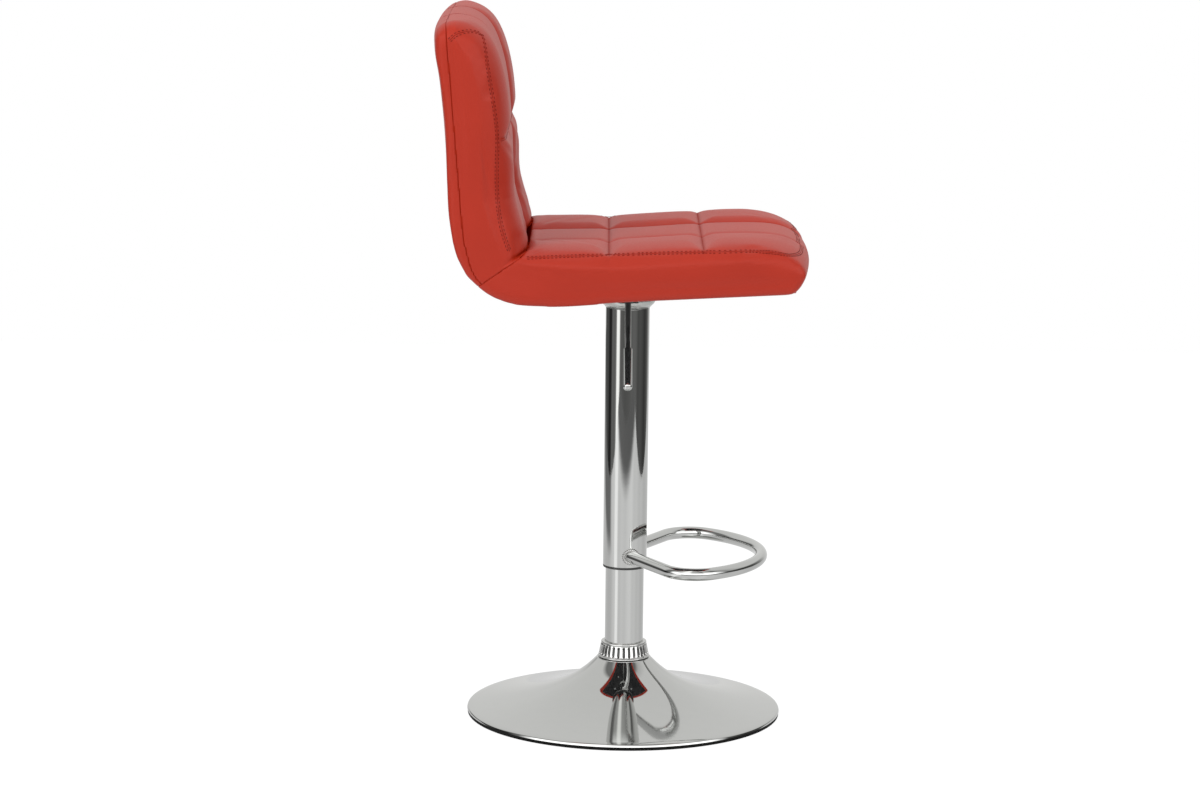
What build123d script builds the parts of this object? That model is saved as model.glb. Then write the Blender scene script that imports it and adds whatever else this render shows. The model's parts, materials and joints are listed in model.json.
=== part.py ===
from build123d import *
import math
import os

# A swivelling bar stool on a gas lift: trumpet base, column, cover sleeve with a
# footrest loop, and a tufted seat and back on one bent plywood shell.
# Origin: on the column axis at floor level. +Z is up, +X is the way the sitter faces.

# Fits, each a gap on the radius or between two faces
run_fit = 0.08
press_gap = 0.05
soft_gap = 0.3
lever_gap = 0.4

# Base
base_radius = 205.0
ring_height = 3.0
ring_width = 12.0
ring_inset = 2.0
shell_wall = 2.0
rim_height = 3.0
cone_radius = 120.0
cone_rise = 17.0
neck_radius = 35.0
neck_height = 74.0
weight_radius = 140.0
weight_thickness = 8.0
weight_hole = 15.0
socket_wall = 4.0

# Ribbed collar on the neck of the base
collar_height = 22.0
collar_foot_radius = 32.5
collar_top_radius = 28.0
collar_round = 1.2
flute_count = 30
flute_radius = 1.3
flute_margin = 4.0

# Column, the fixed tube of the gas lift
column_radius = 25.0
column_wall = 1.5
column_length = 348.0
end_plate_thickness = 6.0
column_bush_length = 80.0
bush_flange = 2.0

# Swivel bearing under the rod
race_inner = 5.5
race_outer = 14.0
race_thickness = 2.0
ball_radius = 2.0
ball_count = 10
cage_thickness = 1.6
ball_play = 0.15

# Standing rod of the gas spring
rod_radius = 5.0
rod_neck_radius = 4.0
rod_length = 272.0
rod_tail = 5.0
rod_head = 12.0
piston_groove = 2.0
rod_washer_radius = 8.0
rod_washer_thickness = 1.0
clip_radius = 7.0
clip_thickness = 1.0
clip_mouth = 6.0

# Gas cylinder that rises with the seat
cylinder_radius = 14.0
cylinder_wall = 2.0
cylinder_length = 398.0
cylinder_lip = 2.0
cylinder_roof = 3.0
taper_length = 42.0
taper_drop = 0.8
rod_guide_length = 18.0
rod_seal_length = 2.0
valve_body_length = 25.0
valve_pin_radius = 3.0
valve_pin_proud = 6.0
valve_flange_radius = 5.0
valve_flange_thickness = 2.0

# Cover sleeve over the column
sleeve_radius = 28.5
sleeve_wall = 1.2
sleeve_overhang = 15.0
sleeve_top = 538.0
sleeve_bush_length = 27.0
sleeve_bush_lip = 3.0
sleeve_cap_thickness = 4.0

# Footrest loop
footrest_height = 213.0
footrest_tube_radius = 8.0
footrest_tube_wall = 1.5
footrest_root_x = 8.0
footrest_root_y = 28.0
footrest_leg_angle = 61.0
footrest_bend_radius = 40.0
footrest_front_radius = 148.0
footrest_front_centre = 30.0
footrest_root_depth = 14.0
weld_radius = 2.6

# Seat plate and hub
seat_underside = 571.0
seat_tilt = 3.2
plate_size = 178.0
plate_corner = 12.0
plate_thickness = 3.2
bolt_spacing = 145.0
taper_socket_wall = 4.0
hub_cover_height = 22.0
hub_cover_flare = 36.0
hub_cover_wall = 2.0
hub_notch_width = 26.0

# Height lever, on the sitter's right
lever_drop = 14.0
lever_radius = 4.0
lever_tip = 4.0
lever_pivot = 26.0
lever_elbow = 48.0
lever_elbow_radius = 18.0
lever_slope = 45.0
lever_grip_start = 105.0
lever_grip_length = 64.0
lever_grip_radius = 5.8
lever_grip_depth = 40.0
lever_grip_round = 3.5
lever_boss_radius = 6.0
lever_boss_width = 9.0
lever_pin_radius = 2.5
lever_pin_overhang = 2.0
lever_swing_room = 2.5
ear_thickness = 2.5
ear_length = 15.0

# Seat fasteners
bolt_radius = 3.0
bolt_head_radius = 5.5
bolt_head_height = 4.0
bolt_hole_radius = 3.4
washer_radius = 8.0
washer_thickness = 1.5
tee_flange_radius = 9.0
tee_flange_thickness = 1.5
tee_barrel_radius = 3.9
tee_barrel_length = 9.0

# Bent plywood shell, in the tilted frame of the seat
dust_cover_thickness = 1.5
dust_cover_margin = 12.0
ply_thickness = 12.0
ply_width = 372.0
ply_front = 203.0
ply_height = 328.0
ply_bend_radius = 92.0

# Upholstery, in the tilted frame of the seat
seat_width = 400.0
seat_front = 234.0
seat_front_corner = 222.0
seat_corner_round = 20.0
seat_front_height = 30.0
seat_nose_tuck = 20.0
seat_crown = 73.5
seat_middle_crown = 69.0
seat_channel = 66.0
seat_side_seam = 62.0
seat_channel_rear = -22.0
seat_channel_front = 96.0
seat_nose_start = 198.0
seat_nose_height = 62.0
pad_column = 65.0
side_draw = 4.0
back_rake = 1.8
back_reach = 213.5
back_corner_radius = 100.0
back_top = 361.0
back_crown = 86.0
back_middle_crown = 82.0
back_channel = 79.0
back_side_seam = 65.0
back_channel_height = 214.0
back_shoulder = 330.0
back_shoulder_depth = 72.0
back_crest_depth = 34.0
rear_panel_thickness = 12.0
rear_edge_round = 8.0
back_corner_round = 16.0

# Heights worked out from the sizes above
LOW = (Align.CENTER, Align.CENTER, Align.MIN)
cone_slope = (cone_rise - rim_height) / (base_radius - cone_radius)
rim_top = ring_height + rim_height
cone_top = ring_height + cone_rise


def under_shell(radius):
    """Height of the underside of the base's cone at a radius."""
    return rim_top + (base_radius - radius) * cone_slope - shell_wall * math.hypot(1, cone_slope)


weight_top = under_shell(weight_radius) - soft_gap
weight_bottom = weight_top - weight_thickness
neck_under = neck_height - shell_wall
column_top = weight_top + column_length
column_bore = column_radius - column_wall
end_plate_top = weight_top + end_plate_thickness
balls_bottom = end_plate_top + race_thickness
upper_race_bottom = balls_bottom + 2 * ball_radius + press_gap
rod_shoulder = upper_race_bottom + race_thickness
rod_top = rod_shoulder + rod_length
lever_height = seat_underside - lever_drop
valve_pin_top = lever_height - lever_radius - lever_gap
cylinder_top = valve_pin_top - valve_pin_proud
cylinder_bottom = cylinder_top - cylinder_length
cylinder_bore = cylinder_radius - cylinder_wall
guide_bottom = cylinder_bottom + cylinder_lip
guide_top = guide_bottom + rod_guide_length
valve_body_top = cylinder_top - cylinder_roof
valve_body_bottom = valve_body_top - valve_body_length
taper_bottom = cylinder_top - taper_length
socket_radius = cylinder_radius + taper_socket_wall
sleeve_bore = sleeve_radius - sleeve_wall
sleeve_bottom = footrest_height - sleeve_overhang
above_all = seat_underside + plate_size

# Frames: the seat is tilted nose up, the back leans behind it
tilt = math.radians(seat_tilt)
lean = math.radians(seat_tilt + back_rake)
rake = math.radians(back_rake)
seat_forward = (math.cos(tilt), 0, math.sin(tilt))
seat_up = (-math.sin(tilt), 0, math.cos(tilt))
seat_frame = Plane(origin=(0, 0, seat_underside), x_dir=seat_forward, z_dir=seat_up)
seat_side = Plane(origin=(0, 0, seat_underside), x_dir=seat_forward, z_dir=(0, -1, 0))
seat_cross = Plane(origin=(0, 0, seat_underside), x_dir=(0, 1, 0), z_dir=seat_forward)
plate_under = seat_frame.offset(-plate_thickness)
back_foot = seat_frame.from_local_coords(Vector(-back_reach, 0, 0))
back_face = Plane(origin=back_foot, x_dir=(0, 1, 0), z_dir=(math.cos(lean), 0, math.sin(lean)))
back_cross = Plane(origin=back_foot, x_dir=(0, 1, 0), z_dir=(math.sin(lean), 0, -math.cos(lean)))


def tube(inner, outer, low, high):
    """Add an upright tube on the column axis to the open part."""
    with Locations((0, 0, low)):
        Cylinder(outer, high - low, align=LOW)
        Cylinder(inner, high - low, align=LOW, mode=Mode.SUBTRACT)


def turned(points):
    """Profile of (radius, height) points, to be turned about the column axis."""
    with BuildSketch(Plane.XZ) as profile:
        with BuildLine():
            Polyline(*points, close=True)
        make_face()
    return profile.sketch


def back_point(depth, height):
    """Side-view point of the back: depth ahead of the rear line, height along it."""
    forward = -back_reach + depth * math.cos(rake) - height * math.sin(rake)
    return (forward, depth * math.sin(rake) + height * math.cos(rake))


def corner(under, behind, bend, radius):
    """Three points of the rear lower corner arc, from the seat line to the back line.

    under and behind are the distances of an arc of the radius bend from the two
    outer lines. The points lie on an arc of the given radius about the same centre.
    """
    rise = under + bend
    reach = (behind + bend) / math.cos(rake) - rise * math.tan(rake) - back_reach
    turn = math.pi / 2 - rake
    foot = (reach, rise - radius)
    middle = (reach - radius * math.sin(turn / 2), rise - radius * math.cos(turn / 2))
    top = (reach - radius * math.cos(rake), rise - radius * math.sin(rake))
    return foot, middle, top


outer_foot, outer_middle, outer_top = corner(0, 0, back_corner_radius, back_corner_radius)
ply_behind = rear_panel_thickness + soft_gap
crease_height = (seat_channel - back_channel * math.sin(rake)) / math.cos(rake)
crease = back_point(back_channel, crease_height)

# Base

with BuildPart() as floor_ring:
    ring_outer = base_radius - ring_inset
    ring_inner = ring_outer - ring_width
    ring_shoulder = base_radius - shell_wall - press_gap
    ring_profile = [
        (ring_inner, 0),
        (ring_outer, 0),
        (ring_outer, ring_height),
        (ring_shoulder, ring_height),
        (ring_shoulder, under_shell(ring_shoulder) - press_gap),
        (ring_inner, under_shell(ring_inner) - press_gap),
    ]
    revolve(turned(ring_profile), axis=Axis.Z)

with BuildPart() as base_shell:
    with BuildSketch(Plane.XZ):
        with BuildLine():
            rim = Line((base_radius, ring_height), (base_radius, rim_top))
            cone = Line(rim @ 1, (cone_radius, cone_top))
            trumpet = TangentArc(cone @ 1, (neck_radius, neck_under), tangent=cone % 1)
            neck = Line(trumpet @ 1, (neck_radius, neck_height))
            Line(neck @ 1, (column_radius + press_gap, neck_height))
            offset(amount=shell_wall, side=Side.LEFT, kind=Kind.INTERSECTION)
        make_face()
    revolve(axis=Axis.Z)

with BuildPart() as base_weight:
    tube(weight_hole, weight_radius, weight_bottom, weight_top)

with BuildPart() as column_socket:
    tube(column_radius + press_gap, column_radius + socket_wall, weight_top, neck_under)

with BuildPart() as base_collar:
    collar_top = neck_height + collar_height
    collar_profile = [
        (column_radius + press_gap, neck_height),
        (collar_foot_radius, neck_height),
        (collar_top_radius, collar_top),
        (column_radius + press_gap, collar_top),
    ]
    revolve(turned(collar_profile), axis=Axis.Z)
    rims = base_collar.edges().filter_by(GeomType.CIRCLE).sort_by(SortBy.RADIUS)
    fillet(rims[-2:], collar_round)
    collar_slant = math.degrees(math.atan2(collar_foot_radius - collar_top_radius, collar_height))
    collar_middle = (collar_foot_radius + collar_top_radius) / 2 + flute_radius / 2
    with Locations((0, 0, neck_height + collar_height / 2)):
        with PolarLocations(collar_middle, flute_count):
            flute_length = collar_height - 2 * flute_margin
            Cylinder(flute_radius, flute_length, rotation=(0, -collar_slant, 0), mode=Mode.SUBTRACT)

# Column and swivel bearing

with BuildPart() as column_tube:
    tube(column_bore, column_radius, weight_top, column_top)

with BuildPart() as column_end_plate:
    tube(rod_neck_radius + run_fit, column_bore - press_gap, weight_top, end_plate_top)

with BuildPart() as column_bush:
    tube(cylinder_radius + run_fit, column_bore - press_gap, column_top - column_bush_length, column_top)
    tube(cylinder_radius + run_fit, column_radius, column_top, column_top + bush_flange)

ball_circle = (race_inner + race_outer) / 2

with BuildPart() as bearing_lower_washer:
    tube(race_inner, race_outer, end_plate_top, balls_bottom)

with BuildPart() as bearing_balls:
    with Locations((0, 0, balls_bottom + ball_radius)):
        with PolarLocations(ball_circle, ball_count):
            Sphere(ball_radius)

with BuildPart() as bearing_cage:
    cage_bottom = balls_bottom + ball_radius - cage_thickness / 2
    tube(race_inner, race_outer, cage_bottom, cage_bottom + cage_thickness)
    with Locations((0, 0, cage_bottom)):
        with PolarLocations(ball_circle, ball_count):
            Cylinder(ball_radius + ball_play, cage_thickness, align=LOW, mode=Mode.SUBTRACT)

with BuildPart() as bearing_upper_washer:
    tube(rod_neck_radius + press_gap, race_outer, upper_race_bottom, rod_shoulder)

# Standing rod of the gas spring

washer_top = weight_top - press_gap
washer_bottom = washer_top - rod_washer_thickness
clip_bottom = washer_bottom - clip_thickness

with BuildPart() as piston_rod:
    with Locations((0, 0, clip_bottom - rod_tail)):
        Cylinder(rod_neck_radius, rod_shoulder - clip_bottom + rod_tail, align=LOW)
    with Locations((0, 0, rod_shoulder)):
        Cylinder(rod_radius, rod_length, align=LOW)
    with Locations((0, 0, rod_top)):
        Cylinder(rod_neck_radius, rod_head, align=LOW)

with BuildPart() as piston:
    piston_radius = cylinder_bore - run_fit
    seal_low = rod_top + (rod_head - piston_groove) / 2
    seal_high = seal_low + piston_groove
    seal_root = piston_radius - piston_groove
    tube(rod_neck_radius + press_gap, piston_radius, rod_top, rod_top + rod_head)
    with Locations((0, 0, seal_low)):
        Cylinder(piston_radius, piston_groove, align=LOW, mode=Mode.SUBTRACT)
        Cylinder(seal_root, piston_groove, align=LOW)
        Cylinder(rod_neck_radius + press_gap, piston_groove, align=LOW, mode=Mode.SUBTRACT)

with BuildPart() as piston_seal:
    tube(seal_root + press_gap, piston_radius, seal_low, seal_high)

with BuildPart() as rod_washer:
    tube(rod_neck_radius + press_gap, rod_washer_radius, washer_bottom, washer_top)

with BuildPart() as rod_clip:
    tube(rod_neck_radius + press_gap, clip_radius, clip_bottom, washer_bottom)
    with Locations((clip_radius, 0, clip_bottom)):
        Box(2 * clip_radius, clip_mouth, clip_thickness, align=LOW, mode=Mode.SUBTRACT)

# Gas cylinder

with BuildPart() as gas_cylinder:
    cylinder_profile = [
        (rod_radius + run_fit, cylinder_bottom),
        (cylinder_radius, cylinder_bottom),
        (cylinder_radius, taper_bottom),
        (cylinder_radius - taper_drop, cylinder_top),
        (valve_pin_radius + run_fit, cylinder_top),
        (valve_pin_radius + run_fit, valve_body_top),
        (cylinder_bore - taper_drop, valve_body_top),
        (cylinder_bore - taper_drop, taper_bottom),
        (cylinder_bore, taper_bottom),
        (cylinder_bore, guide_bottom),
        (rod_radius + run_fit, guide_bottom),
    ]
    revolve(turned(cylinder_profile), axis=Axis.Z)

with BuildPart() as rod_guide:
    tube(rod_radius + run_fit, cylinder_bore - press_gap, guide_bottom, guide_top)

with BuildPart() as rod_seal:
    tube(rod_radius + run_fit, cylinder_bore - press_gap, guide_top, guide_top + rod_seal_length)

with BuildPart() as valve_body:
    valve_body_radius = cylinder_bore - taper_drop - press_gap
    tube(valve_pin_radius + run_fit, valve_body_radius, valve_body_bottom, valve_body_top)

with BuildPart() as valve_pin:
    with Locations((0, 0, valve_body_bottom)):
        Cylinder(valve_pin_radius, valve_pin_top - valve_body_bottom, align=LOW)
    with Locations((0, 0, valve_body_bottom - run_fit - valve_flange_thickness)):
        Cylinder(valve_pin_radius, valve_flange_thickness + run_fit, align=LOW)
        Cylinder(valve_flange_radius, valve_flange_thickness, align=LOW)

# Cover sleeve and footrest

with BuildPart() as sleeve:
    tube(sleeve_bore, sleeve_radius, sleeve_bottom, sleeve_top)

with BuildPart() as sleeve_bush:
    guide_bore = column_radius + run_fit
    tube(guide_bore, sleeve_bore - press_gap, sleeve_bottom, sleeve_bottom + sleeve_bush_length)
    tube(guide_bore, sleeve_radius, sleeve_bottom - sleeve_bush_lip, sleeve_bottom)

with BuildPart() as sleeve_cap:
    cap_bottom = sleeve_top - sleeve_cap_thickness
    tube(socket_radius + press_gap, sleeve_bore - press_gap, cap_bottom, sleeve_top)

# The footrest's half path: a straight leg, a side bend and the front arc, all tangent
leg_angle = math.radians(footrest_leg_angle)
leg = Vector(math.cos(leg_angle), math.sin(leg_angle))
inward = Vector(math.sin(leg_angle), -math.cos(leg_angle))
root = Vector(footrest_root_x, footrest_root_y, footrest_height)
front_centre = Vector(footrest_front_centre, 0, footrest_height)
centre_gap = footrest_front_radius - footrest_bend_radius
start = root + inward * footrest_bend_radius - front_centre
along = start.dot(leg)
leg_length = math.sqrt(along**2 - start.dot(start) + centre_gap**2) - along
leg_end = root + leg * leg_length
bend_centre = leg_end + inward * footrest_bend_radius
outward = (bend_centre - front_centre).normalized()
bend_middle = bend_centre + (outward - inward).normalized() * footrest_bend_radius
bend_end = front_centre + outward * footrest_front_radius
front_middle = front_centre + Vector(footrest_front_radius, 0)
leg_start = root - leg * footrest_root_depth


def other_side(point):
    """The same point on the other side of the stool."""
    return Vector(point.X, -point.Y, point.Z)


with BuildPart() as footrest:
    with BuildLine() as loop:
        Line(leg_start, leg_end)
        ThreePointArc(leg_end, bend_middle, bend_end)
        ThreePointArc(bend_end, front_middle, other_side(bend_end))
        ThreePointArc(other_side(bend_end), other_side(bend_middle), other_side(leg_end))
        Line(other_side(leg_end), other_side(leg_start))
    with BuildSketch(Plane(origin=loop.line @ 0, z_dir=loop.line % 0)):
        Circle(footrest_tube_radius)
        Circle(footrest_tube_radius - footrest_tube_wall, mode=Mode.SUBTRACT)
    sweep()
    with Locations((0, 0, sleeve_bottom)):
        Cylinder(sleeve_radius + press_gap, sleeve_top - sleeve_bottom, align=LOW, mode=Mode.SUBTRACT)

with BuildPart() as footrest_welds:
    for side in (1, -1):
        seat_on_sleeve = Vector(root.X, side * root.Y, root.Z)
        leg_direction = Vector(leg.X, side * leg.Y, 0)
        with Locations(Plane(origin=seat_on_sleeve, z_dir=leg_direction)):
            Torus(footrest_tube_radius, weld_radius)
            leg_room = footrest_tube_radius + press_gap
            Cylinder(leg_room, 2 * footrest_root_depth, mode=Mode.SUBTRACT)
    with Locations((0, 0, sleeve_bottom)):
        Cylinder(sleeve_radius + press_gap, sleeve_top - sleeve_bottom, align=LOW, mode=Mode.SUBTRACT)

# Seat plate, hub and lever

with BuildPart() as seat_plate:
    with BuildSketch(plate_under):
        RectangleRounded(plate_size, plate_size, plate_corner)
        with GridLocations(bolt_spacing, bolt_spacing, 2, 2):
            Circle(bolt_hole_radius, mode=Mode.SUBTRACT)
    extrude(amount=plate_thickness)

slot_width = lever_boss_width + 2 * ear_thickness + 2 * lever_gap
slot_bottom = lever_height - lever_boss_radius - lever_swing_room

with BuildPart() as taper_socket:
    socket_profile = [
        (socket_radius, taper_bottom),
        (socket_radius, above_all),
        (cylinder_radius - taper_drop + press_gap, above_all),
        (cylinder_radius - taper_drop + press_gap, cylinder_top),
        (cylinder_radius + press_gap, taper_bottom),
    ]
    revolve(turned(socket_profile), axis=Axis.Z)
    split(bisect_by=plate_under, keep=Keep.BOTTOM)
    with Locations((0, 0, slot_bottom)):
        slot_align = (Align.CENTER, Align.MAX, Align.MIN)
        Box(slot_width, 2 * socket_radius, plate_size, align=slot_align, mode=Mode.SUBTRACT)

with BuildPart() as hub_cover:
    cover_top = sleeve_top + hub_cover_height
    cover_profile = [
        (sleeve_radius - hub_cover_wall, sleeve_top),
        (sleeve_radius, sleeve_top),
        (hub_cover_flare, sleeve_top + hub_cover_flare - sleeve_radius),
        (hub_cover_flare, cover_top),
        (hub_cover_flare - hub_cover_wall, cover_top),
        (hub_cover_flare - hub_cover_wall, sleeve_top + hub_cover_flare - sleeve_radius),
    ]
    revolve(turned(cover_profile), axis=Axis.Z)
    with Locations((0, 0, slot_bottom)):
        notch_align = (Align.CENTER, Align.MAX, Align.MIN)
        Box(hub_notch_width, 2 * hub_cover_flare, plate_size, align=notch_align, mode=Mode.SUBTRACT)

pivot = (0, -lever_pivot, lever_height)
across = Plane(origin=pivot, x_dir=(0, 1, 0), z_dir=(1, 0, 0))
ear_inside = lever_boss_width / 2 + lever_gap
ear_outside = ear_inside + ear_thickness

with BuildPart() as lever_bracket:
    with Locations((0, -lever_pivot, lever_height - lever_boss_radius)):
        Box(2 * ear_outside, ear_length, plate_size, align=LOW)
    with Locations((0, -lever_pivot, lever_height - lever_boss_radius)):
        ear_room = 2 * lever_boss_radius + lever_swing_room
        Box(2 * ear_inside, ear_length, ear_room, align=LOW, mode=Mode.SUBTRACT)
    with Locations(across):
        Cylinder(lever_pin_radius + press_gap, 2 * ear_outside, mode=Mode.SUBTRACT)
    split(bisect_by=plate_under, keep=Keep.BOTTOM)

with BuildPart() as lever_pin:
    with Locations(across):
        Cylinder(lever_pin_radius, 2 * (ear_outside + lever_pin_overhang))

slope = math.radians(lever_slope)
grip_direction = Vector(0, -math.cos(slope), -math.sin(slope))
elbow = Vector(0, -lever_elbow, lever_height)
grip_start = elbow + grip_direction * ((lever_grip_start - lever_elbow) / math.cos(slope))
arm_end = grip_start + grip_direction * lever_grip_depth

with BuildPart() as lever_arm:
    with BuildLine() as arm_line:
        FilletPolyline((0, lever_tip, lever_height), elbow, arm_end, radius=lever_elbow_radius)
    with BuildSketch(Plane(origin=arm_line.line @ 0, z_dir=arm_line.line % 0)):
        Circle(lever_radius)
    sweep()
    with Locations(across):
        Cylinder(lever_boss_radius, lever_boss_width)
        Cylinder(lever_pin_radius + run_fit, lever_boss_width, mode=Mode.SUBTRACT)

with BuildPart() as lever_grip:
    with Locations(Plane(origin=grip_start, z_dir=grip_direction)):
        Cylinder(lever_grip_radius, lever_grip_length, align=LOW)
        Cylinder(lever_radius + press_gap, lever_grip_depth + press_gap, align=LOW, mode=Mode.SUBTRACT)
    end_rim = lever_grip.edges().filter_by(GeomType.CIRCLE).sort_by(Axis.Z)[0]
    fillet(end_rim, lever_grip_round)

# Seat fasteners

ply_bottom = dust_cover_thickness
ply_top = ply_bottom + ply_thickness

with BuildPart() as plate_bolts:
    with Locations(seat_frame.offset(-plate_thickness - washer_thickness)):
        with GridLocations(bolt_spacing, bolt_spacing, 2, 2):
            shank = plate_thickness + washer_thickness + ply_top
            Cylinder(bolt_radius, shank, align=LOW)
    with Locations(seat_frame.offset(-plate_thickness - washer_thickness - bolt_head_height)):
        with GridLocations(bolt_spacing, bolt_spacing, 2, 2):
            Cylinder(bolt_head_radius, bolt_head_height, align=LOW)

with BuildPart() as plate_washers:
    with Locations(seat_frame.offset(-plate_thickness - washer_thickness)):
        with GridLocations(bolt_spacing, bolt_spacing, 2, 2):
            Cylinder(washer_radius, washer_thickness, align=LOW)
            Cylinder(bolt_radius + press_gap, washer_thickness, align=LOW, mode=Mode.SUBTRACT)

with BuildPart() as tee_nuts:
    with Locations(seat_frame.offset(ply_top)):
        with GridLocations(bolt_spacing, bolt_spacing, 2, 2):
            Cylinder(tee_flange_radius, tee_flange_thickness, align=LOW)
    with Locations(seat_frame.offset(ply_top - tee_barrel_length)):
        with GridLocations(bolt_spacing, bolt_spacing, 2, 2):
            tee_length = tee_barrel_length + tee_flange_thickness
            Cylinder(tee_barrel_radius, tee_barrel_length, align=LOW)
            Cylinder(bolt_radius + press_gap, tee_length, align=LOW, mode=Mode.SUBTRACT)

# Bent plywood shell, seat and back in one


def shell_profile(gap):
    """Side profile of the plywood shell, grown by a gap all round."""
    outer = corner(ply_bottom, ply_behind, ply_bend_radius, ply_bend_radius + gap)
    inner = corner(ply_bottom, ply_behind, ply_bend_radius, ply_bend_radius - ply_thickness - gap)
    top_height = ply_height + gap
    front = ply_front + gap
    with BuildSketch() as profile:
        with BuildLine():
            Line((front, ply_bottom - gap), outer[0])
            ThreePointArc(*outer)
            Line(outer[2], back_point(ply_behind - gap, top_height))
            back_face = ply_behind + ply_thickness + gap
            Line(back_point(ply_behind - gap, top_height), back_point(back_face, top_height))
            Line(back_point(back_face, top_height), inner[2])
            ThreePointArc(*reversed(inner))
            Line(inner[0], (front, ply_top + gap))
            Line((front, ply_top + gap), (front, ply_bottom - gap))
        make_face()
    return profile.sketch


with BuildPart() as seat_shell:
    with BuildSketch(seat_side):
        add(shell_profile(0))
    extrude(amount=ply_width / 2, both=True)
    with Locations(seat_frame):
        with GridLocations(bolt_spacing, bolt_spacing, 2, 2):
            Cylinder(tee_barrel_radius + press_gap, 4 * ply_top, mode=Mode.SUBTRACT)

cover_rear = corner(ply_bottom, ply_behind, ply_bend_radius, ply_bend_radius)[0][0]
cover_length = ply_front - cover_rear - 2 * dust_cover_margin
cover_middle = (ply_front + cover_rear) / 2

with BuildPart() as dust_cover:
    with BuildSketch(seat_frame):
        with Locations((cover_middle, 0)):
            Rectangle(cover_length, ply_width - 2 * dust_cover_margin)
        with GridLocations(bolt_spacing, bolt_spacing, 2, 2):
            Circle(bolt_hole_radius, mode=Mode.SUBTRACT)
    extrude(amount=dust_cover_thickness)

# Upholstery

half_width = seat_width / 2
cut_width = half_width + side_draw


def pad_arc(first, last, crown):
    """Arc from one sewn line to the next over a crown, in a side or cross profile."""
    return ThreePointArc(first, ((first[0] + last[0]) / 2, crown), last)


def half_corner(first, last):
    """Half of the rear lower corner arc between two of its points."""
    return RadiusArc(first, last, back_corner_radius)


def seat_outline():
    """Side outline of the seat: three pads, the rolled nose and the rear corner."""
    rear_line = (seat_channel_rear, seat_channel)
    front_line = (seat_channel_front, seat_channel)
    nose_top = (seat_nose_start, seat_nose_height)
    nose = (seat_front, seat_front_height)
    tuck = (seat_front - seat_nose_tuck, 0)
    with BuildSketch() as outline:
        with BuildLine():
            pad_arc(crease, rear_line, seat_crown)
            pad_arc(rear_line, front_line, seat_crown)
            pad_arc(front_line, nose_top, seat_crown)
            TangentArc(nose, nose_top, tangent=(0, 1))
            TangentArc(nose, tuck, tangent=(0, -1))
            Line(tuck, outer_foot)
            half_corner(outer_foot, outer_middle)
            Line(outer_middle, crease)
        make_face()
    return outline.sketch


def back_outline():
    """Side outline of the back: two rows of pads, the rolled top and the rear line."""
    sewn_line = back_point(back_channel, back_channel_height)
    shoulder = back_point(back_shoulder_depth, back_shoulder)
    crest = back_point(back_crest_depth, back_top)
    rear_shoulder = back_point(0, back_shoulder)
    lower_height = (back_channel_height + crease_height) / 2
    upper_height = (back_channel_height + back_shoulder) / 2 - back_crown / 4
    to_front = (math.cos(rake), math.sin(rake))
    to_rear = (-math.cos(rake), -math.sin(rake))
    with BuildSketch() as outline:
        with BuildLine():
            ThreePointArc(crease, back_point(back_crown, lower_height), sewn_line)
            ThreePointArc(sewn_line, back_point(back_crown, upper_height), shoulder)
            TangentArc(crest, shoulder, tangent=to_front)
            TangentArc(crest, rear_shoulder, tangent=to_rear)
            Line(rear_shoulder, outer_top)
            half_corner(outer_middle, outer_top)
            Line(outer_middle, crease)
        make_face()
    return outline.sketch


def rear_zone():
    """Side view of the room behind and below the plywood, up to its outer face."""
    bend = corner(ply_bottom, ply_behind, ply_bend_radius, ply_bend_radius + soft_gap)
    top = back_point(rear_panel_thickness, 2 * back_top)
    far = back_point(-back_reach, 2 * back_top)
    with BuildSketch() as zone:
        with BuildLine():
            Line(top, bend[2])
            ThreePointArc(*reversed(bend))
            Polyline(bend[0], (bend[0][0], -back_reach), (far[0], -back_reach), far, top)
        make_face()
    return zone.sketch


def back_view():
    """Front view of the back, with its two rounded upper corners."""
    with BuildSketch() as view:
        Rectangle(2 * cut_width, 2 * back_top)
        fillet(view.vertices().group_by(Axis.Y)[-1], back_corner_round + side_draw)
    return view.sketch


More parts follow.
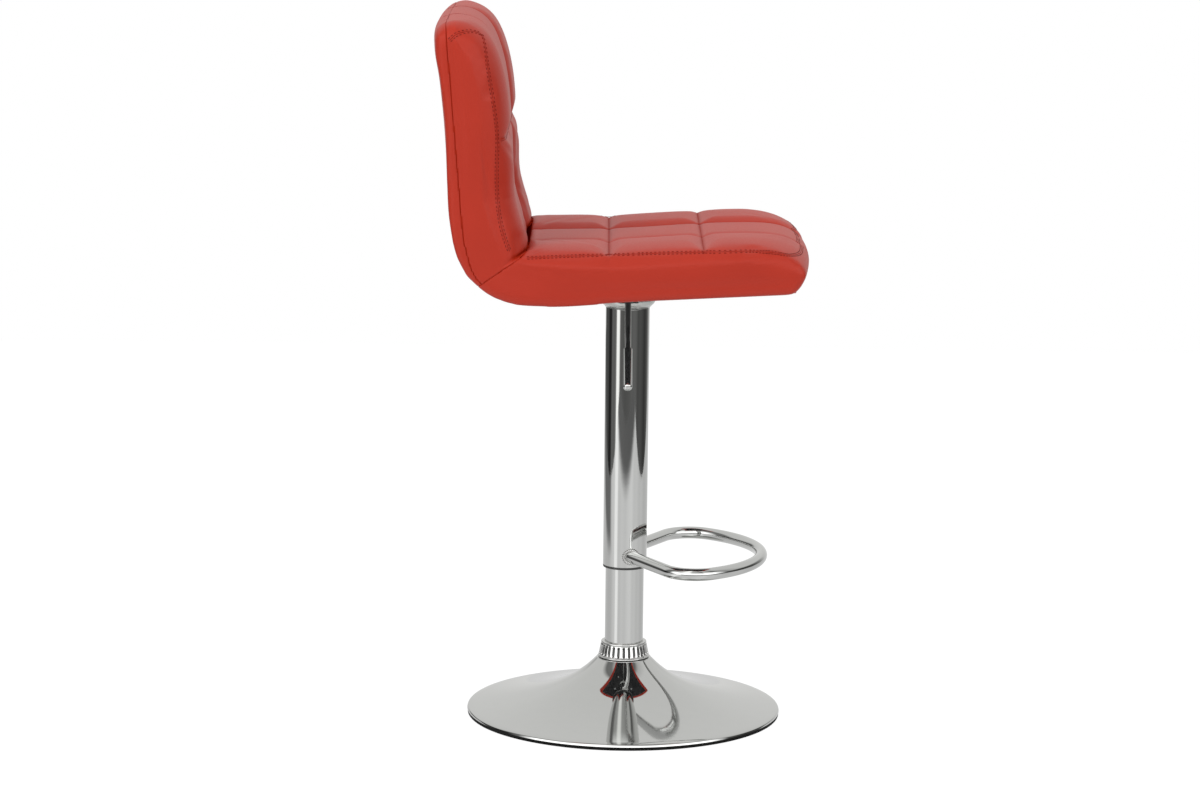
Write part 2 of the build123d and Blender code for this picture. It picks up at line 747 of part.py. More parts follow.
with BuildPart() as seat_cushion:
    with BuildSketch(seat_side):
        add(seat_outline())
        add(rear_zone(), mode=Mode.SUBTRACT)
    extrude(amount=cut_width, both=True)
    with BuildSketch(seat_cross):
        with BuildLine():
            Line((side_draw - half_width, 0), (half_width - side_draw, 0))
            seam = (half_width - side_draw / 2, seat_side_seam)
            for turn in (1, -1):
                foot = (turn * (half_width - side_draw), 0)
                edge = (turn * seam[0], seam[1])
                ThreePointArc(foot, (turn * half_width, seat_side_seam / 2), edge)
                pad_arc(edge, (turn * pad_column, seat_channel), seat_crown)
            pad_arc((-pad_column, seat_channel), (pad_column, seat_channel), seat_middle_crown)
        make_face()
    extrude(amount=2 * seat_front, both=True, mode=Mode.INTERSECT)
    with BuildSketch(seat_frame) as plan:
        with BuildLine():
            plan_rear = -2 * seat_front
            right = (seat_front_corner, -cut_width)
            left = (seat_front_corner, cut_width)
            ThreePointArc(right, (seat_front, 0), left)
            Polyline(left, (plan_rear, cut_width), (plan_rear, -cut_width), right)
        make_face()
        fillet(plan.vertices().group_by(Axis.X)[-1], seat_corner_round + side_draw)
    extrude(amount=2 * back_top, both=True, mode=Mode.INTERSECT)
    with BuildSketch(seat_side):
        add(shell_profile(soft_gap))
    extrude(amount=ply_width / 2 + soft_gap, both=True, mode=Mode.SUBTRACT)
    with BuildSketch(seat_frame):
        with Locations((cover_middle, 0)):
            Rectangle(cover_length + 2 * dust_cover_margin, ply_width)
    extrude(amount=ply_bottom, mode=Mode.SUBTRACT)
    with Locations(seat_frame.offset(ply_top)):
        with GridLocations(bolt_spacing, bolt_spacing, 2, 2):
            flange_room = tee_flange_radius + soft_gap
            Cylinder(flange_room, tee_flange_thickness + soft_gap, align=LOW, mode=Mode.SUBTRACT)

with BuildPart() as back_cushion:
    with BuildSketch(seat_side):
        add(back_outline())
        add(rear_zone(), mode=Mode.SUBTRACT)
    extrude(amount=cut_width, both=True)
    with BuildSketch(back_cross):
        with BuildLine():
            Line((side_draw - half_width, 0), (half_width - side_draw, 0))
            for turn in (1, -1):
                foot = (turn * (half_width - side_draw), 0)
                edge = (turn * (half_width - side_draw / 2), back_side_seam)
                ThreePointArc(foot, (turn * half_width, back_side_seam / 2), edge)
                pad_arc(edge, (turn * pad_column, back_channel), back_crown)
            pad_arc((-pad_column, back_channel), (pad_column, back_channel), back_middle_crown)
        make_face()
    extrude(amount=2 * back_top, both=True, mode=Mode.INTERSECT)
    with BuildSketch(back_face):
        add(back_view())
    extrude(amount=2 * back_crown, both=True, mode=Mode.INTERSECT)
    with BuildSketch(seat_side):
        add(shell_profile(soft_gap))
    extrude(amount=ply_width / 2 + soft_gap, both=True, mode=Mode.SUBTRACT)

with BuildPart() as rear_panel:
    with BuildSketch(seat_side):
        add(back_outline())
        add(seat_outline())
        add(rear_zone(), mode=Mode.INTERSECT)
    extrude(amount=cut_width, both=True)
    with BuildSketch(back_cross) as wrap:
        Rectangle(seat_width - side_draw, 2 * back_top, align=(Align.CENTER, Align.MIN))
        fillet(wrap.vertices().group_by(Axis.Y)[0], rear_edge_round)
    extrude(amount=2 * back_top, both=True, mode=Mode.INTERSECT)
    with BuildSketch(back_face):
        add(back_view())
    extrude(amount=2 * back_crown, both=True, mode=Mode.INTERSECT)

nodes = {
    "floor_ring": floor_ring,
    "base_shell": base_shell,
    "base_weight": base_weight,
    "column_socket": column_socket,
    "base_collar": base_collar,
    "column_tube": column_tube,
    "column_end_plate": column_end_plate,
    "column_bush": column_bush,
    "bearing_lower_washer": bearing_lower_washer,
    "bearing_cage": bearing_cage,
    "bearing_balls": bearing_balls,
    "bearing_upper_washer": bearing_upper_washer,
    "piston_rod": piston_rod,
    "piston": piston,
    "piston_seal": piston_seal,
    "rod_washer": rod_washer,
    "rod_clip": rod_clip,
    "gas_cylinder": gas_cylinder,
    "rod_guide": rod_guide,
    "rod_seal": rod_seal,
    "valve_body": valve_body,
    "valve_pin": valve_pin,
    "sleeve": sleeve,
    "sleeve_bush": sleeve_bush,
    "sleeve_cap": sleeve_cap,
    "footrest": footrest,
    "footrest_welds": footrest_welds,
    "taper_socket": taper_socket,
    "hub_cover": hub_cover,
    "seat_plate": seat_plate,
    "lever_bracket": lever_bracket,
    "lever_pin": lever_pin,
    "lever_arm": lever_arm,
    "lever_grip": lever_grip,
    "plate_bolts": plate_bolts,
    "plate_washers": plate_washers,
    "tee_nuts": tee_nuts,
    "seat_shell": seat_shell,
    "seat_cushion": seat_cushion,
    "back_cushion": back_cushion,
    "rear_panel": rear_panel,
    "dust_cover": dust_cover,
}

os.makedirs("parts", exist_ok=True)
for node, builder in nodes.items():
    builder.part.label = node
    export_step(builder.part, f"parts/{node}.step")
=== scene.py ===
"""Bar stool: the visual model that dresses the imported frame, in metres."""

import json
import logging
import math
from collections.abc import Callable, Sequence
from dataclasses import dataclass
from enum import Enum

import bmesh
import bpy
from bmesh.types import BMEdge, BMesh, BMFace, BMVert
from bpy.types import Material, Mesh
from mathutils import Matrix, Vector
from mathutils.bvhtree import BVHTree
from mathutils.geometry import interpolate_bezier


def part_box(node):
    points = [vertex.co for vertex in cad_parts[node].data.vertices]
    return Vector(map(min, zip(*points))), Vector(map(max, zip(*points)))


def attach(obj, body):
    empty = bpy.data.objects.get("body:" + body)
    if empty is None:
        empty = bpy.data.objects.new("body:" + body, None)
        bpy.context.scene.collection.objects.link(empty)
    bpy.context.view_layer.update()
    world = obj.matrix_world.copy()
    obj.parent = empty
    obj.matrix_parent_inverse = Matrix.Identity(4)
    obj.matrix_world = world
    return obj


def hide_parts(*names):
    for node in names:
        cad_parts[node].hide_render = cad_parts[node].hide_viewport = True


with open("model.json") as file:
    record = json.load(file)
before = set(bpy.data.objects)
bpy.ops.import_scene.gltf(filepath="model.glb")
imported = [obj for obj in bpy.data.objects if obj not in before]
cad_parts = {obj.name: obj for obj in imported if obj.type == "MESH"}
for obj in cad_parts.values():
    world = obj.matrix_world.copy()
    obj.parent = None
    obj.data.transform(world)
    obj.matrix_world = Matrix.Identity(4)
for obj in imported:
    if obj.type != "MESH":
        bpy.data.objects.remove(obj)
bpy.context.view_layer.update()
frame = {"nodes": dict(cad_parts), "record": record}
LOG = logging.getLogger("bar_stool")
ORIGIN = Vector((0.0, 0.0, 0.0))
FORWARD = Vector((1.0, 0.0, 0.0))
ACROSS = Vector((0.0, 1.0, 0.0))
UP = Vector((0.0, 0.0, 1.0))
FULL_TURN = 2 * math.pi
# Attribute of a mesh that marks its folds and hollows, where shade is painted into the colour.
PAINTED_SHADE_MARK = "fold"
# Share of blue in the studio's light.
WARMTH = 0.985

Colour = tuple[float, float, float]
Socket = bpy.types.NodeSocket
Input = Socket | float | Sequence[float]
Stops = Sequence[tuple[float, float]]


class Body(Enum):
    """Moving bodies that pieces ride on."""

    BASE = "base"
    SEAT = "seat"
    LEVER = "lever"


class Slot(Enum):
    """Material slots of the record."""

    CHROME = "chrome"
    WELD = "weld"
    RUBBER = "rubber"
    BLACK_PLASTIC = "black_plastic"
    RAW_STEEL = "raw_steel"
    LIGHT_ALLOY = "light_alloy"
    BLACK_PAINT = "black_paint"
    ZINC = "zinc"
    HUB_FINISH = "hub_finish"
    PLYWOOD = "plywood"
    RED_COVER = "red_cover"
    DUST_CLOTH = "dust_cloth"


class Nodes:
    """A node tree, with short calls that add and join nodes."""

    def __init__(self, tree: bpy.types.NodeTree, coordinates: str) -> None:
        """Start with the coordinates that the tree's patterns follow.

        Args:
            tree: The tree of a material or a world.
            coordinates: Name of the coordinates.
        """
        self.tree = tree
        self.place = tree.nodes.new("ShaderNodeTexCoord").outputs[coordinates]

    def join(self, value: Input, socket: Socket) -> None:
        """Link a socket to an input, or set the input's own value.

        Args:
            value: The socket or the value.
            socket: The input.
        """
        if isinstance(value, Socket):
            self.tree.links.new(value, socket)
        else:
            socket.default_value = value

    def node(self, kind: str, inputs: dict[str | int, Input], **settings: object) -> bpy.types.Node:
        """Add a node.

        Args:
            kind: Blender's name for the node type.
            inputs: Values or output sockets for its inputs, by name or number.
            settings: Attributes of the node.

        Returns:
            The new node.
        """
        made = self.tree.nodes.new(kind)
        for key, value in settings.items():
            setattr(made, key, value)
        for key, value in inputs.items():
            self.join(value, made.inputs[key])
        return made

    def maths(self, operation: str, *values: Input) -> Socket:
        """Result of an operation on sockets or numbers."""
        return self.node("ShaderNodeMath", dict(enumerate(values)), operation=operation).outputs[0]

    def spread(self, value: Socket, low: float, high: float) -> Socket:
        """Map a value from 0..1 to low..high."""
        return self.node("ShaderNodeMapRange", {0: value, 3: low, 4: high}).outputs[0]

    def eased(self, value: Socket, start: float, end: float, low: float = 0.0) -> Socket:
        """Map a value from start..end to low..1, smooth at both ends."""
        inputs = {0: value, 1: start, 2: end, 3: low}
        return self.node("ShaderNodeMapRange", inputs, interpolation_type="SMOOTHSTEP").outputs[0]

    def blend(self, factor: Input, first: Input, second: Input) -> Socket:
        """Mix two colours."""
        inputs = {"Factor": factor, 6: first, 7: second}
        return self.node("ShaderNodeMix", inputs, data_type="RGBA").outputs[2]

    def azimuth(self, x: Socket, y: Socket) -> Socket:
        """Direction about the column axis, from 0 to 1, with 0.5 towards the camera."""
        turn = self.maths("ARCTAN2", x, self.maths("MULTIPLY", y, -1.0))
        return self.maths("MULTIPLY_ADD", turn, 1 / FULL_TURN, 0.5)

    def bands(self, azimuth: Socket, stops: Stops) -> Socket:
        """Light that changes with the azimuth.

        Args:
            azimuth: The azimuth, from 0 to 1.
            stops: A level at each azimuth, in degrees from the camera's side.

        Returns:
            The socket with the light.
        """
        ramp = self.node("ShaderNodeValToRGB", {0: azimuth})
        elements = ramp.color_ramp.elements
        while len(elements) < len(stops):
            elements.new(0.5)
        for stop, (degrees, level) in zip(elements, stops):
            stop.position = (degrees + 180) / 360
            stop.color = tone((level, level, WARMTH * level))
        return ramp.outputs[0]


class Graph(Nodes):
    """Node tree of one material, with its shader and its patterns."""

    def __init__(self, name: str) -> None:
        """Start a material with its shader and its object coordinates.

        Args:
            name: Name of the material.
        """
        self.material = bpy.data.materials.new(name)
        self.material.use_nodes = True
        super().__init__(self.material.node_tree, "Object")
        self.shader = self.tree.nodes["Principled BSDF"]

    def noise(self, scale: float, detail: float, stretch: Sequence[float] | None = None) -> Socket:
        """Soft noise.

        Args:
            scale: Spots per metre.
            detail: How many finer layers it has.
            stretch: Scale along each axis, if it isn't even.

        Returns:
            The socket with the noise.
        """
        place = self.place
        if stretch:
            place = self.node("ShaderNodeMapping", {"Vector": place, "Scale": stretch}).outputs[0]
        return self.node("ShaderNodeTexNoise", {"Vector": place, "Scale": scale, "Detail": detail}).outputs[0]

    def cells(self, scale: float) -> Socket:
        """Distance in a pattern of cells, about 1/scale metres apart."""
        return self.node("ShaderNodeTexVoronoi", {"Vector": self.place, "Scale": scale}).outputs["Distance"]

    def fold(self) -> Socket:
        """The mark of painted shade that folds and hollows carry on the mesh."""
        return self.node("ShaderNodeAttribute", {}, attribute_name=PAINTED_SHADE_MARK).outputs["Fac"]

    def sum(self, first: Socket, second: Socket, share: float) -> Socket:
        """First value plus a share of the second."""
        return self.maths("MULTIPLY_ADD", second, share, first)

    def relief(self, height: Socket, depth: float) -> None:
        """Give the surface a fine relief of that depth, in metres."""
        bump = self.node("ShaderNodeBump", {"Height": height, "Strength": 1.0, "Distance": depth})
        self.feed("Normal", bump.outputs[0])

    def feed(self, socket: str, value: Input) -> None:
        """Set an input of the shader, or join a socket to it."""
        self.join(value, self.shader.inputs[socket])


def tone(colour: Sequence[float], share: float = 1.0) -> tuple[float, float, float, float]:
    """A colour with its alpha, darkened or lightened by a share."""
    return (colour[0] * share, colour[1] * share, colour[2] * share, 1.0)


@dataclass(frozen=True)
class Finish:
    """What every finish has: a name, a colour and a material.

    Attributes:
        name: Name of the material.
        colour: Linear colour.
    """

    name: str
    colour: Colour

    def material(self) -> Material:
        """The finish's material.

        Returns:
            The material, made at its first use.
        """
        known = bpy.data.materials.get(self.name)
        if known:
            return known
        graph = Graph(self.name)
        self.paint(graph)
        return graph.material

    def paint(self, graph: Graph) -> None:
        """Build the nodes of the finish, in a way of its own for each kind."""
        raise NotImplementedError


@dataclass(frozen=True)
class HardFinish(Finish):
    """A hard finish: plated, painted, moulded or bare.

    Attributes:
        roughness: Lowest and highest roughness over the surface.
        metallic: 1 for bare or plated metal.
        scale: Spots per metre of the fine pattern.
        stretch: Scale of the pattern along each axis.
        depth: Depth of the relief, in metres.
        shade: How dark the darker spots are.
        coat: Weight of a clear coat.
        specular: Level of the plain shine.
        hollow: How much painted shade darkens the hollows marked on the mesh.
        broader: How much broader the second pattern is than the fine one.
    """

    roughness: tuple[float, float]
    metallic: float = 0.0
    scale: float = 400.0
    stretch: tuple[float, float, float] = (1.0, 1.0, 1.0)
    depth: float = 0.00005
    shade: float = 0.85
    coat: float = 0.0
    specular: float = 0.5
    hollow: float = 0.0
    broader: float = 12.0

    def paint(self, graph: Graph) -> None:
        """Build the nodes of the finish.

        Args:
            graph: The material's node tree.
        """
        fine = graph.noise(self.scale, 4.0, self.stretch)
        broad = graph.noise(self.scale / self.broader, 2.0, self.stretch)
        colour = graph.blend(broad, tone(self.colour, self.shade), tone(self.colour))
        # Painted shade: the hollows marked on the mesh are darkened.
        if self.hollow:
            colour = graph.blend(graph.fold(), colour, tone(self.colour, 1 - self.hollow))
        graph.feed("Base Color", colour)
        graph.feed("Roughness", graph.spread(fine, *self.roughness))
        graph.feed("Metallic", self.metallic)
        graph.feed("Coat Weight", self.coat)
        graph.feed("Specular IOR Level", self.specular)
        graph.relief(graph.sum(fine, broad, 2.0), self.depth)


@dataclass(frozen=True)
class Leatherette(Finish):
    """Red coated cloth of the cover, with its pores and soft creases; its sewn folds get painted shade, a
    darker colour without shine.
    """

    name: str = "red_leatherette"
    colour: Colour = (0.432, 0.025, 0.0085)
    roughness: tuple[float, float] = (0.36, 0.5)
    broad: float = 14.0
    fine: float = 420.0
    pores: float = 900.0
    pore_depth: float = 0.00006
    pore_share: float = 0.35
    pore_shade: float = 0.8
    creases: float = 55.0
    specular: float = 0.32
    shades: tuple[float, float] = (0.9, 1.06)
    fold_shade: float = 0.75

    def paint(self, graph: Graph) -> None:
        """Build the nodes of the finish.

        Args:
            graph: The material's node tree.
        """
        fine = graph.noise(self.fine, 3.0)
        pores = graph.cells(self.pores)
        fold = graph.fold()
        dark, light = (tone(self.colour, shade) for shade in self.shades)
        body = graph.blend(graph.noise(self.broad, 3.0), dark, light)
        pored = tone(self.colour, self.pore_shade)
        speckled = graph.blend(graph.spread(pores, 0.0, self.pore_share), body, pored)
        # Painted shade: the folds marked on the mesh are darker.
        graph.feed("Base Color", graph.blend(fold, speckled, tone(self.colour, self.fold_shade)))
        graph.feed("Roughness", graph.spread(fine, *self.roughness))
        # Painted shade: the folds marked on the mesh lose their shine.
        graph.feed("Specular IOR Level", graph.spread(fold, self.specular, 0.0))
        grained = graph.sum(pores, fine, 0.5)
        graph.relief(graph.sum(grained, graph.noise(self.creases, 4.0), 2.5), self.pore_depth)


@dataclass(frozen=True)
class Plywood(Finish):
    """Bent plywood, with its grain and pores drawn out along the shell."""

    name: str = "beech_plywood"
    colour: Colour = (0.52, 0.34, 0.18)
    along: tuple[float, float] = (0.1, 0.06)
    shades: tuple[float, float] = (0.62, 1.12)
    pore_shade: float = 0.55

    def paint(self, graph: Graph) -> None:
        """Build the nodes of the finish.

        Args:
            graph: The material's node tree.
        """
        grain = graph.noise(60.0, 6.0, (self.along[0], 1.0, 1.0))
        pores = graph.noise(900.0, 2.0, (self.along[1], 1.0, 1.0))
        dark, light = (tone(self.colour, shade) for shade in self.shades)
        wood = graph.blend(grain, dark, light)
        pored = tone(self.colour, self.pore_shade)
        graph.feed("Base Color", graph.blend(graph.spread(pores, 0.0, 0.5), wood, pored))
        graph.feed("Roughness", graph.spread(pores, 0.5, 0.75))
        graph.relief(graph.sum(pores, grain, 1.0), 0.0001)


@dataclass(frozen=True)
class Felted(Finish):
    """Thin black felted cloth under the seat, with so many fibres and bonded spots per metre."""

    name: str = "black_felted_cloth"
    colour: Colour = (0.014, 0.014, 0.015)
    fibres: float = 1500.0
    spots: float = 650.0
    shades: tuple[float, float] = (0.5, 1.8)

    def paint(self, graph: Graph) -> None:
        """Build the nodes of the finish.

        Args:
            graph: The material's node tree.
        """
        fibres = graph.noise(self.fibres, 6.0)
        dark, light = (tone(self.colour, shade) for shade in self.shades)
        graph.feed("Base Color", graph.blend(fibres, dark, light))
        graph.feed("Roughness", graph.spread(fibres, 0.8, 0.98))
        graph.feed("Sheen Weight", 0.25)
        graph.relief(graph.sum(fibres, graph.cells(self.spots), 1.5), 0.00015)


BRIGHT = (0.6, 0.605, 0.595)
JET = (0.006, 0.006, 0.006)
CHROME = HardFinish("polished_chrome", BRIGHT, (0.025, 0.05), 1.0, 900.0, depth=0.000004, shade=0.97)
DRAWN_CHROME = HardFinish(
    "drawn_chrome", BRIGHT, (0.04, 0.09), 1.0, 700.0, (1.0, 1.0, 0.02), depth=0.000006, shade=0.96
)
# The collar's chrome: hollow paints shade into its flutes and into the gap at its foot.
FLUTED_CHROME = HardFinish(
    "fluted_chrome", (0.62, 0.62, 0.61), (0.03, 0.06), 1.0, 900.0, depth=0.000004, shade=0.97, hollow=0.9
)
WELD = HardFinish("plated_weld", (0.55, 0.55, 0.54), (0.08, 0.22), 1.0, 700.0, depth=0.00004, shade=0.8)
RUBBER = HardFinish("black_rubber", JET, (0.6, 0.85), 0.0, 900.0, depth=0.00008, shade=0.6, specular=0.12)
BLACK_PLASTIC = HardFinish(
    "black_plastic", JET, (0.45, 0.6), 0.0, 1200.0, depth=0.00004, shade=0.7, specular=0.12
)
RAW_STEEL = HardFinish(
    "turned_steel", (0.5, 0.5, 0.51), (0.22, 0.4), 1.0, 500.0, (1.0, 1.0, 6.0), depth=0.00002, shade=0.85
)
LIGHT_ALLOY = HardFinish("light_alloy", (0.65, 0.65, 0.66), (0.25, 0.4), 1.0, 600.0, depth=0.00002, shade=0.9)
BLACK_PAINT = HardFinish(
    "black_stove_paint", (0.014, 0.014, 0.015), (0.28, 0.42), 0.0, 700.0, depth=0.00006, shade=0.8, coat=0.2
)
ZINC = HardFinish("bright_zinc", (0.62, 0.63, 0.64), (0.2, 0.4), 1.0, 350.0, depth=0.00002, shade=0.8)
HUB_GREY = HardFinish(
    "grey_lacquer", (0.56, 0.57, 0.55), (0.18, 0.3), 0.75, 800.0, depth=0.00001, shade=0.92, coat=0.4
)
THREAD = HardFinish(
    "red_thread", (0.18, 0.009, 0.004), (0.55, 0.75), 0.0, 2200.0, depth=0.00008, shade=0.6, specular=0.2
)
# Colour of the cords laid in seams and channels: painted shade of their grooves.
SEAM_SHADE = HardFinish(
    "painted_seam_shade", (0.28, 0.014, 0.006), (0.6, 0.75), 0.0, 900.0, depth=0.00006, shade=0.7, specular=0.15
)
LEATHERETTE = Leatherette()

SLOT_FINISHES: dict[Slot, Finish] = {
    Slot.CHROME: CHROME,
    Slot.WELD: WELD,
    Slot.RUBBER: RUBBER,
    Slot.BLACK_PLASTIC: BLACK_PLASTIC,
    Slot.RAW_STEEL: RAW_STEEL,
    Slot.LIGHT_ALLOY: LIGHT_ALLOY,
    Slot.BLACK_PAINT: BLACK_PAINT,
    Slot.ZINC: ZINC,
    Slot.HUB_FINISH: HUB_GREY,
    Slot.PLYWOOD: Plywood(),
    Slot.RED_COVER: LEATHERETTE,
    Slot.DUST_CLOTH: Felted(),
}


def as_mesh(shape: BMesh, name: str, sharp: float = 40.0) -> Mesh:
    """Turn a bmesh into a mesh with smooth faces and sharp edges.

    Args:
        shape: The bmesh, which is freed.
        name: Name of the mesh.
        sharp: Edges that turn by more than this angle, in degrees, stay sharp.

    Returns:
        The mesh.
    """
    mesh = bpy.data.meshes.new(name)
    shape.to_mesh(mesh)
    shape.free()
    mesh.shade_smooth()
    mesh.set_sharp_from_angle(angle=math.radians(sharp))
    return mesh


def put(name: str, data: bpy.types.ID) -> bpy.types.Object:
    """Put a new object into the scene.

    Args:
        name: Name of the object.
        data: Its mesh, lamp or camera.

    Returns:
        The object, at the origin.
    """
    made = bpy.data.objects.new(name, data)
    bpy.context.scene.collection.objects.link(made)
    return made


def add_piece(
    name: str, mesh: Mesh, finish: Finish, slot: Slot, body: Body, *nodes: str
) -> bpy.types.Object:
    """Put a finished piece into the scene.

    Args:
        name: Name of the piece.
        mesh: Its mesh, already in place.
        finish: Its finish.
        slot: The record's slot for it; not used.
        body: The body that it rides on.
        nodes: The frame's nodes that it stands for.

    Returns:
        The piece's object.
    """
    piece = put(name, mesh)
    mesh.materials.clear()
    mesh.materials.append(finish.material())
    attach(piece, body.value)
    if nodes:
        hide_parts(*nodes)
    LOG.info("%s: %d faces, rides on %s", name, len(mesh.polygons), body.value)
    return piece


class Profile:
    """A wire drawn point by point in the XZ plane, then spun about the column axis."""

    def __init__(self, radius: float, height: float) -> None:
        """Start the wire.

        Args:
            radius: Distance of the first point from the axis.
            height: Its height.
        """
        self.shape = bmesh.new()
        self.tip = self.shape.verts.new((radius, 0.0, height))
        self.first = self.tip
        self.heading = Vector((1.0, 0.0))
        self.soft: list[tuple[BMVert, float]] = []

    def line(self, radius: float, height: float, soft: float = 0.0) -> "Profile":
        """Draw a straight stretch.

        Args:
            radius: Where it ends, from the axis.
            height: The height where it ends.
            soft: Rounding of the corner at that end.

        Returns:
            The profile, to go on drawing.
        """
        old = self.tip.co.copy()
        self.tip = bmesh.ops.extrude_vert_indiv(self.shape, verts=[self.tip])["verts"][0]
        self.tip.co = (radius, 0.0, height)
        self.heading = Vector((radius - old.x, height - old.z)).normalized()
        if soft:
            self.soft.append((self.tip, soft))
        return self

    def curve(self, radius: float, height: float, steps: int) -> "Profile":
        """Draw an arc that leaves the last stretch without a corner.

        Args:
            radius: Where it ends, from the axis.
            height: The height where it ends.
            steps: How many facets it has.

        Returns:
            The profile, to go on drawing.
        """
        here = Vector((self.tip.co.x, self.tip.co.z))
        chord = Vector((radius, height)) - here
        across = Vector((-self.heading.y, self.heading.x))
        centre = here + across * (chord.length_squared / (2 * chord.dot(across)))
        turn = 2 * math.atan2(self.heading.x * chord.y - self.heading.y * chord.x, chord.dot(self.heading))
        made = bmesh.ops.spin(
            self.shape, geom=[self.tip], cent=(centre.x, 0.0, centre.y), axis=ACROSS, dvec=ORIGIN,
            angle=-turn, steps=steps,
        )
        self.tip = next(part for part in made["geom_last"] if isinstance(part, BMVert))
        self.heading = Matrix.Rotation(turn, 2) @ self.heading
        return self

    def spun(self, steps: int, closed: bool = True) -> BMesh:
        """Spin the wire once round the column axis.

        Args:
            steps: Facets of the turn.
            closed: Whether the wire's ends are joined first.

        Returns:
            The turned shape, its normals outwards.
        """
        if closed:
            self.shape.edges.new((self.tip, self.first))
        for corner, size in self.soft:
            bmesh.ops.bevel(
                self.shape, geom=[corner], offset=size, offset_type="OFFSET", segments=3, profile=0.5,
                affect="VERTICES", material=-1,
            )
        bmesh.ops.spin(
            self.shape, geom=self.shape.verts[:] + self.shape.edges[:], cent=ORIGIN, axis=UP, dvec=ORIGIN,
            angle=FULL_TURN, steps=steps, use_merge=True,
        )
        bmesh.ops.remove_doubles(self.shape, verts=self.shape.verts[:], dist=1e-6)
        bmesh.ops.recalc_face_normals(self.shape, faces=self.shape.faces[:])
        return self.shape


class Tube:
    """A round bar or tube drawn by extruding and spinning its rim."""

    def __init__(self, start: Vector, heading: Vector, radius: float, sides: int) -> None:
        """Start with a rim.

        Args:
            start: Middle of the first rim.
            heading: The way it goes on.
            radius: Radius of the bar.
            sides: Facets round the bar.
        """
        self.shape = bmesh.new()
        self.middle = start.copy()
        self.heading = heading.normalized()
        turn = self.heading.to_track_quat("Z", "Y").to_matrix().to_4x4()
        bmesh.ops.create_circle(
            self.shape, cap_ends=False, segments=sides, radius=radius, matrix=Matrix.Translation(start) @ turn
        )
        self.first = self.shape.verts[:]
        self.rim = self.shape.edges[:]
        self.radius = radius

    def run(self, length: float, radius: float | None = None) -> "Tube":
        """Go straight on.

        Args:
            length: How far.
            radius: New radius at the end, if it changes.

        Returns:
            The tube, to go on drawing.
        """
        made = bmesh.ops.extrude_edge_only(self.shape, edges=self.rim)["geom"]
        rim = [part for part in made if isinstance(part, BMVert)]
        step = self.heading * length
        bmesh.ops.translate(self.shape, vec=step, verts=rim)
        self.middle += step
        edges = [part for part in made if isinstance(part, BMEdge)]
        self.rim = [edge for edge in edges if all(vert in rim for vert in edge.verts)]
        if radius is not None:
            grow = radius / self.radius
            place = Matrix.Translation(-self.middle)
            bmesh.ops.scale(self.shape, vec=(grow, grow, grow), space=place, verts=rim)
            self.radius = radius
        return self

    def bend(self, centre: Vector, axis: Vector, angle: float, steps: int) -> "Tube":
        """Go round an arc.

        Args:
            centre: Middle of the arc.
            axis: Axis of the turn.
            angle: Its angle, in radians.
            steps: How many facets it has.

        Returns:
            The tube, to go on drawing.
        """
        made = bmesh.ops.spin(
            self.shape, geom=[*self.rim, *{vert for edge in self.rim for vert in edge.verts}], cent=centre,
            axis=axis, dvec=ORIGIN, angle=angle, steps=steps,
        )
        self.rim = [part for part in made["geom_last"] if isinstance(part, BMEdge)]
        turn = Matrix.Rotation(angle, 3, axis)
        self.middle = centre + turn @ (self.middle - centre)
        self.heading = turn @ self.heading
        return self

    def closed(self) -> BMesh:
        """Cap both ends.

        Returns:
            The finished shape, its normals outwards.
        """
        ends = [edge for edge in self.shape.edges if edge.is_boundary]
        bmesh.ops.holes_fill(self.shape, edges=ends, sides=0)
        bmesh.ops.recalc_face_normals(self.shape, faces=self.shape.faces[:])
        return self.shape


Run = tuple[Sequence[Vector], Sequence[float]]


def curve_mesh(curve: bpy.types.Curve) -> Mesh:
    """The mesh of a curve.

    Args:
        curve: The curve, which is used up.

    Returns:
        The mesh.
    """
    holder = bpy.data.objects.new(curve.name, curve)
    mesh = bpy.data.meshes.new_from_object(holder)
    bpy.data.objects.remove(holder)
    bpy.data.curves.remove(curve)
    return mesh


def piped(name: str, runs: Sequence[Run], ring: bool = False, sides: int = 1) -> Mesh:
    """Thin cords along paths.

    Args:
        name: Name of the mesh.
        runs: Points of each path, with the cord's radius at each point.
        ring: Whether each path closes on itself.
        sides: Roundness of the cord's section.

    Returns:
        The cords' mesh.
    """
    curve = bpy.data.curves.new(name, "CURVE")
    curve.dimensions = "3D"
    curve.bevel_depth = 1.0
    curve.bevel_resolution = sides
    curve.use_fill_caps = True
    for path, radii in runs:
        spline = curve.splines.new("POLY")
        spline.points.add(len(path) - 1)
        for point, place, radius in zip(spline.points, path, radii):
            point.co = (*place, 1.0)
            point.radius = radius
        spline.use_cyclic_u = ring
    mesh = curve_mesh(curve)
    mesh.shade_smooth()
    return mesh


def smooth_step(low: float, high: float, value: float) -> float:
    """0 at low and before it, 1 at high and past it, smooth between them."""
    share = min(max((value - low) / (high - low), 0.0), 1.0)
    return share * share * (3 - 2 * share)


def taper(distance: float, reach: float) -> float:
    """1 at no distance, falling to 0 at the reach and flat from there."""
    return max(1 - distance / reach, 0.0) ** 2


def between(knots: Sequence[tuple[float, float]], key: float) -> float:
    """Value at a key, by straight lines between knots.

    Args:
        knots: Keys with their values, sorted.
        key: The key.

    Returns:
        The value.
    """
    if key <= knots[0][0]:
        return knots[0][1]
    for (start, low), (end, high) in zip(knots, knots[1:]):
        if key <= end:
            return low + (high - low) * (key - start) / (end - start)
    return knots[-1][1]


def merged(*pulls: float) -> float:
    """Join several pulls so that the largest leads, without a corner where they cross."""
    return sum(max(pull, 0.0) ** 4 for pull in pulls) ** 0.25


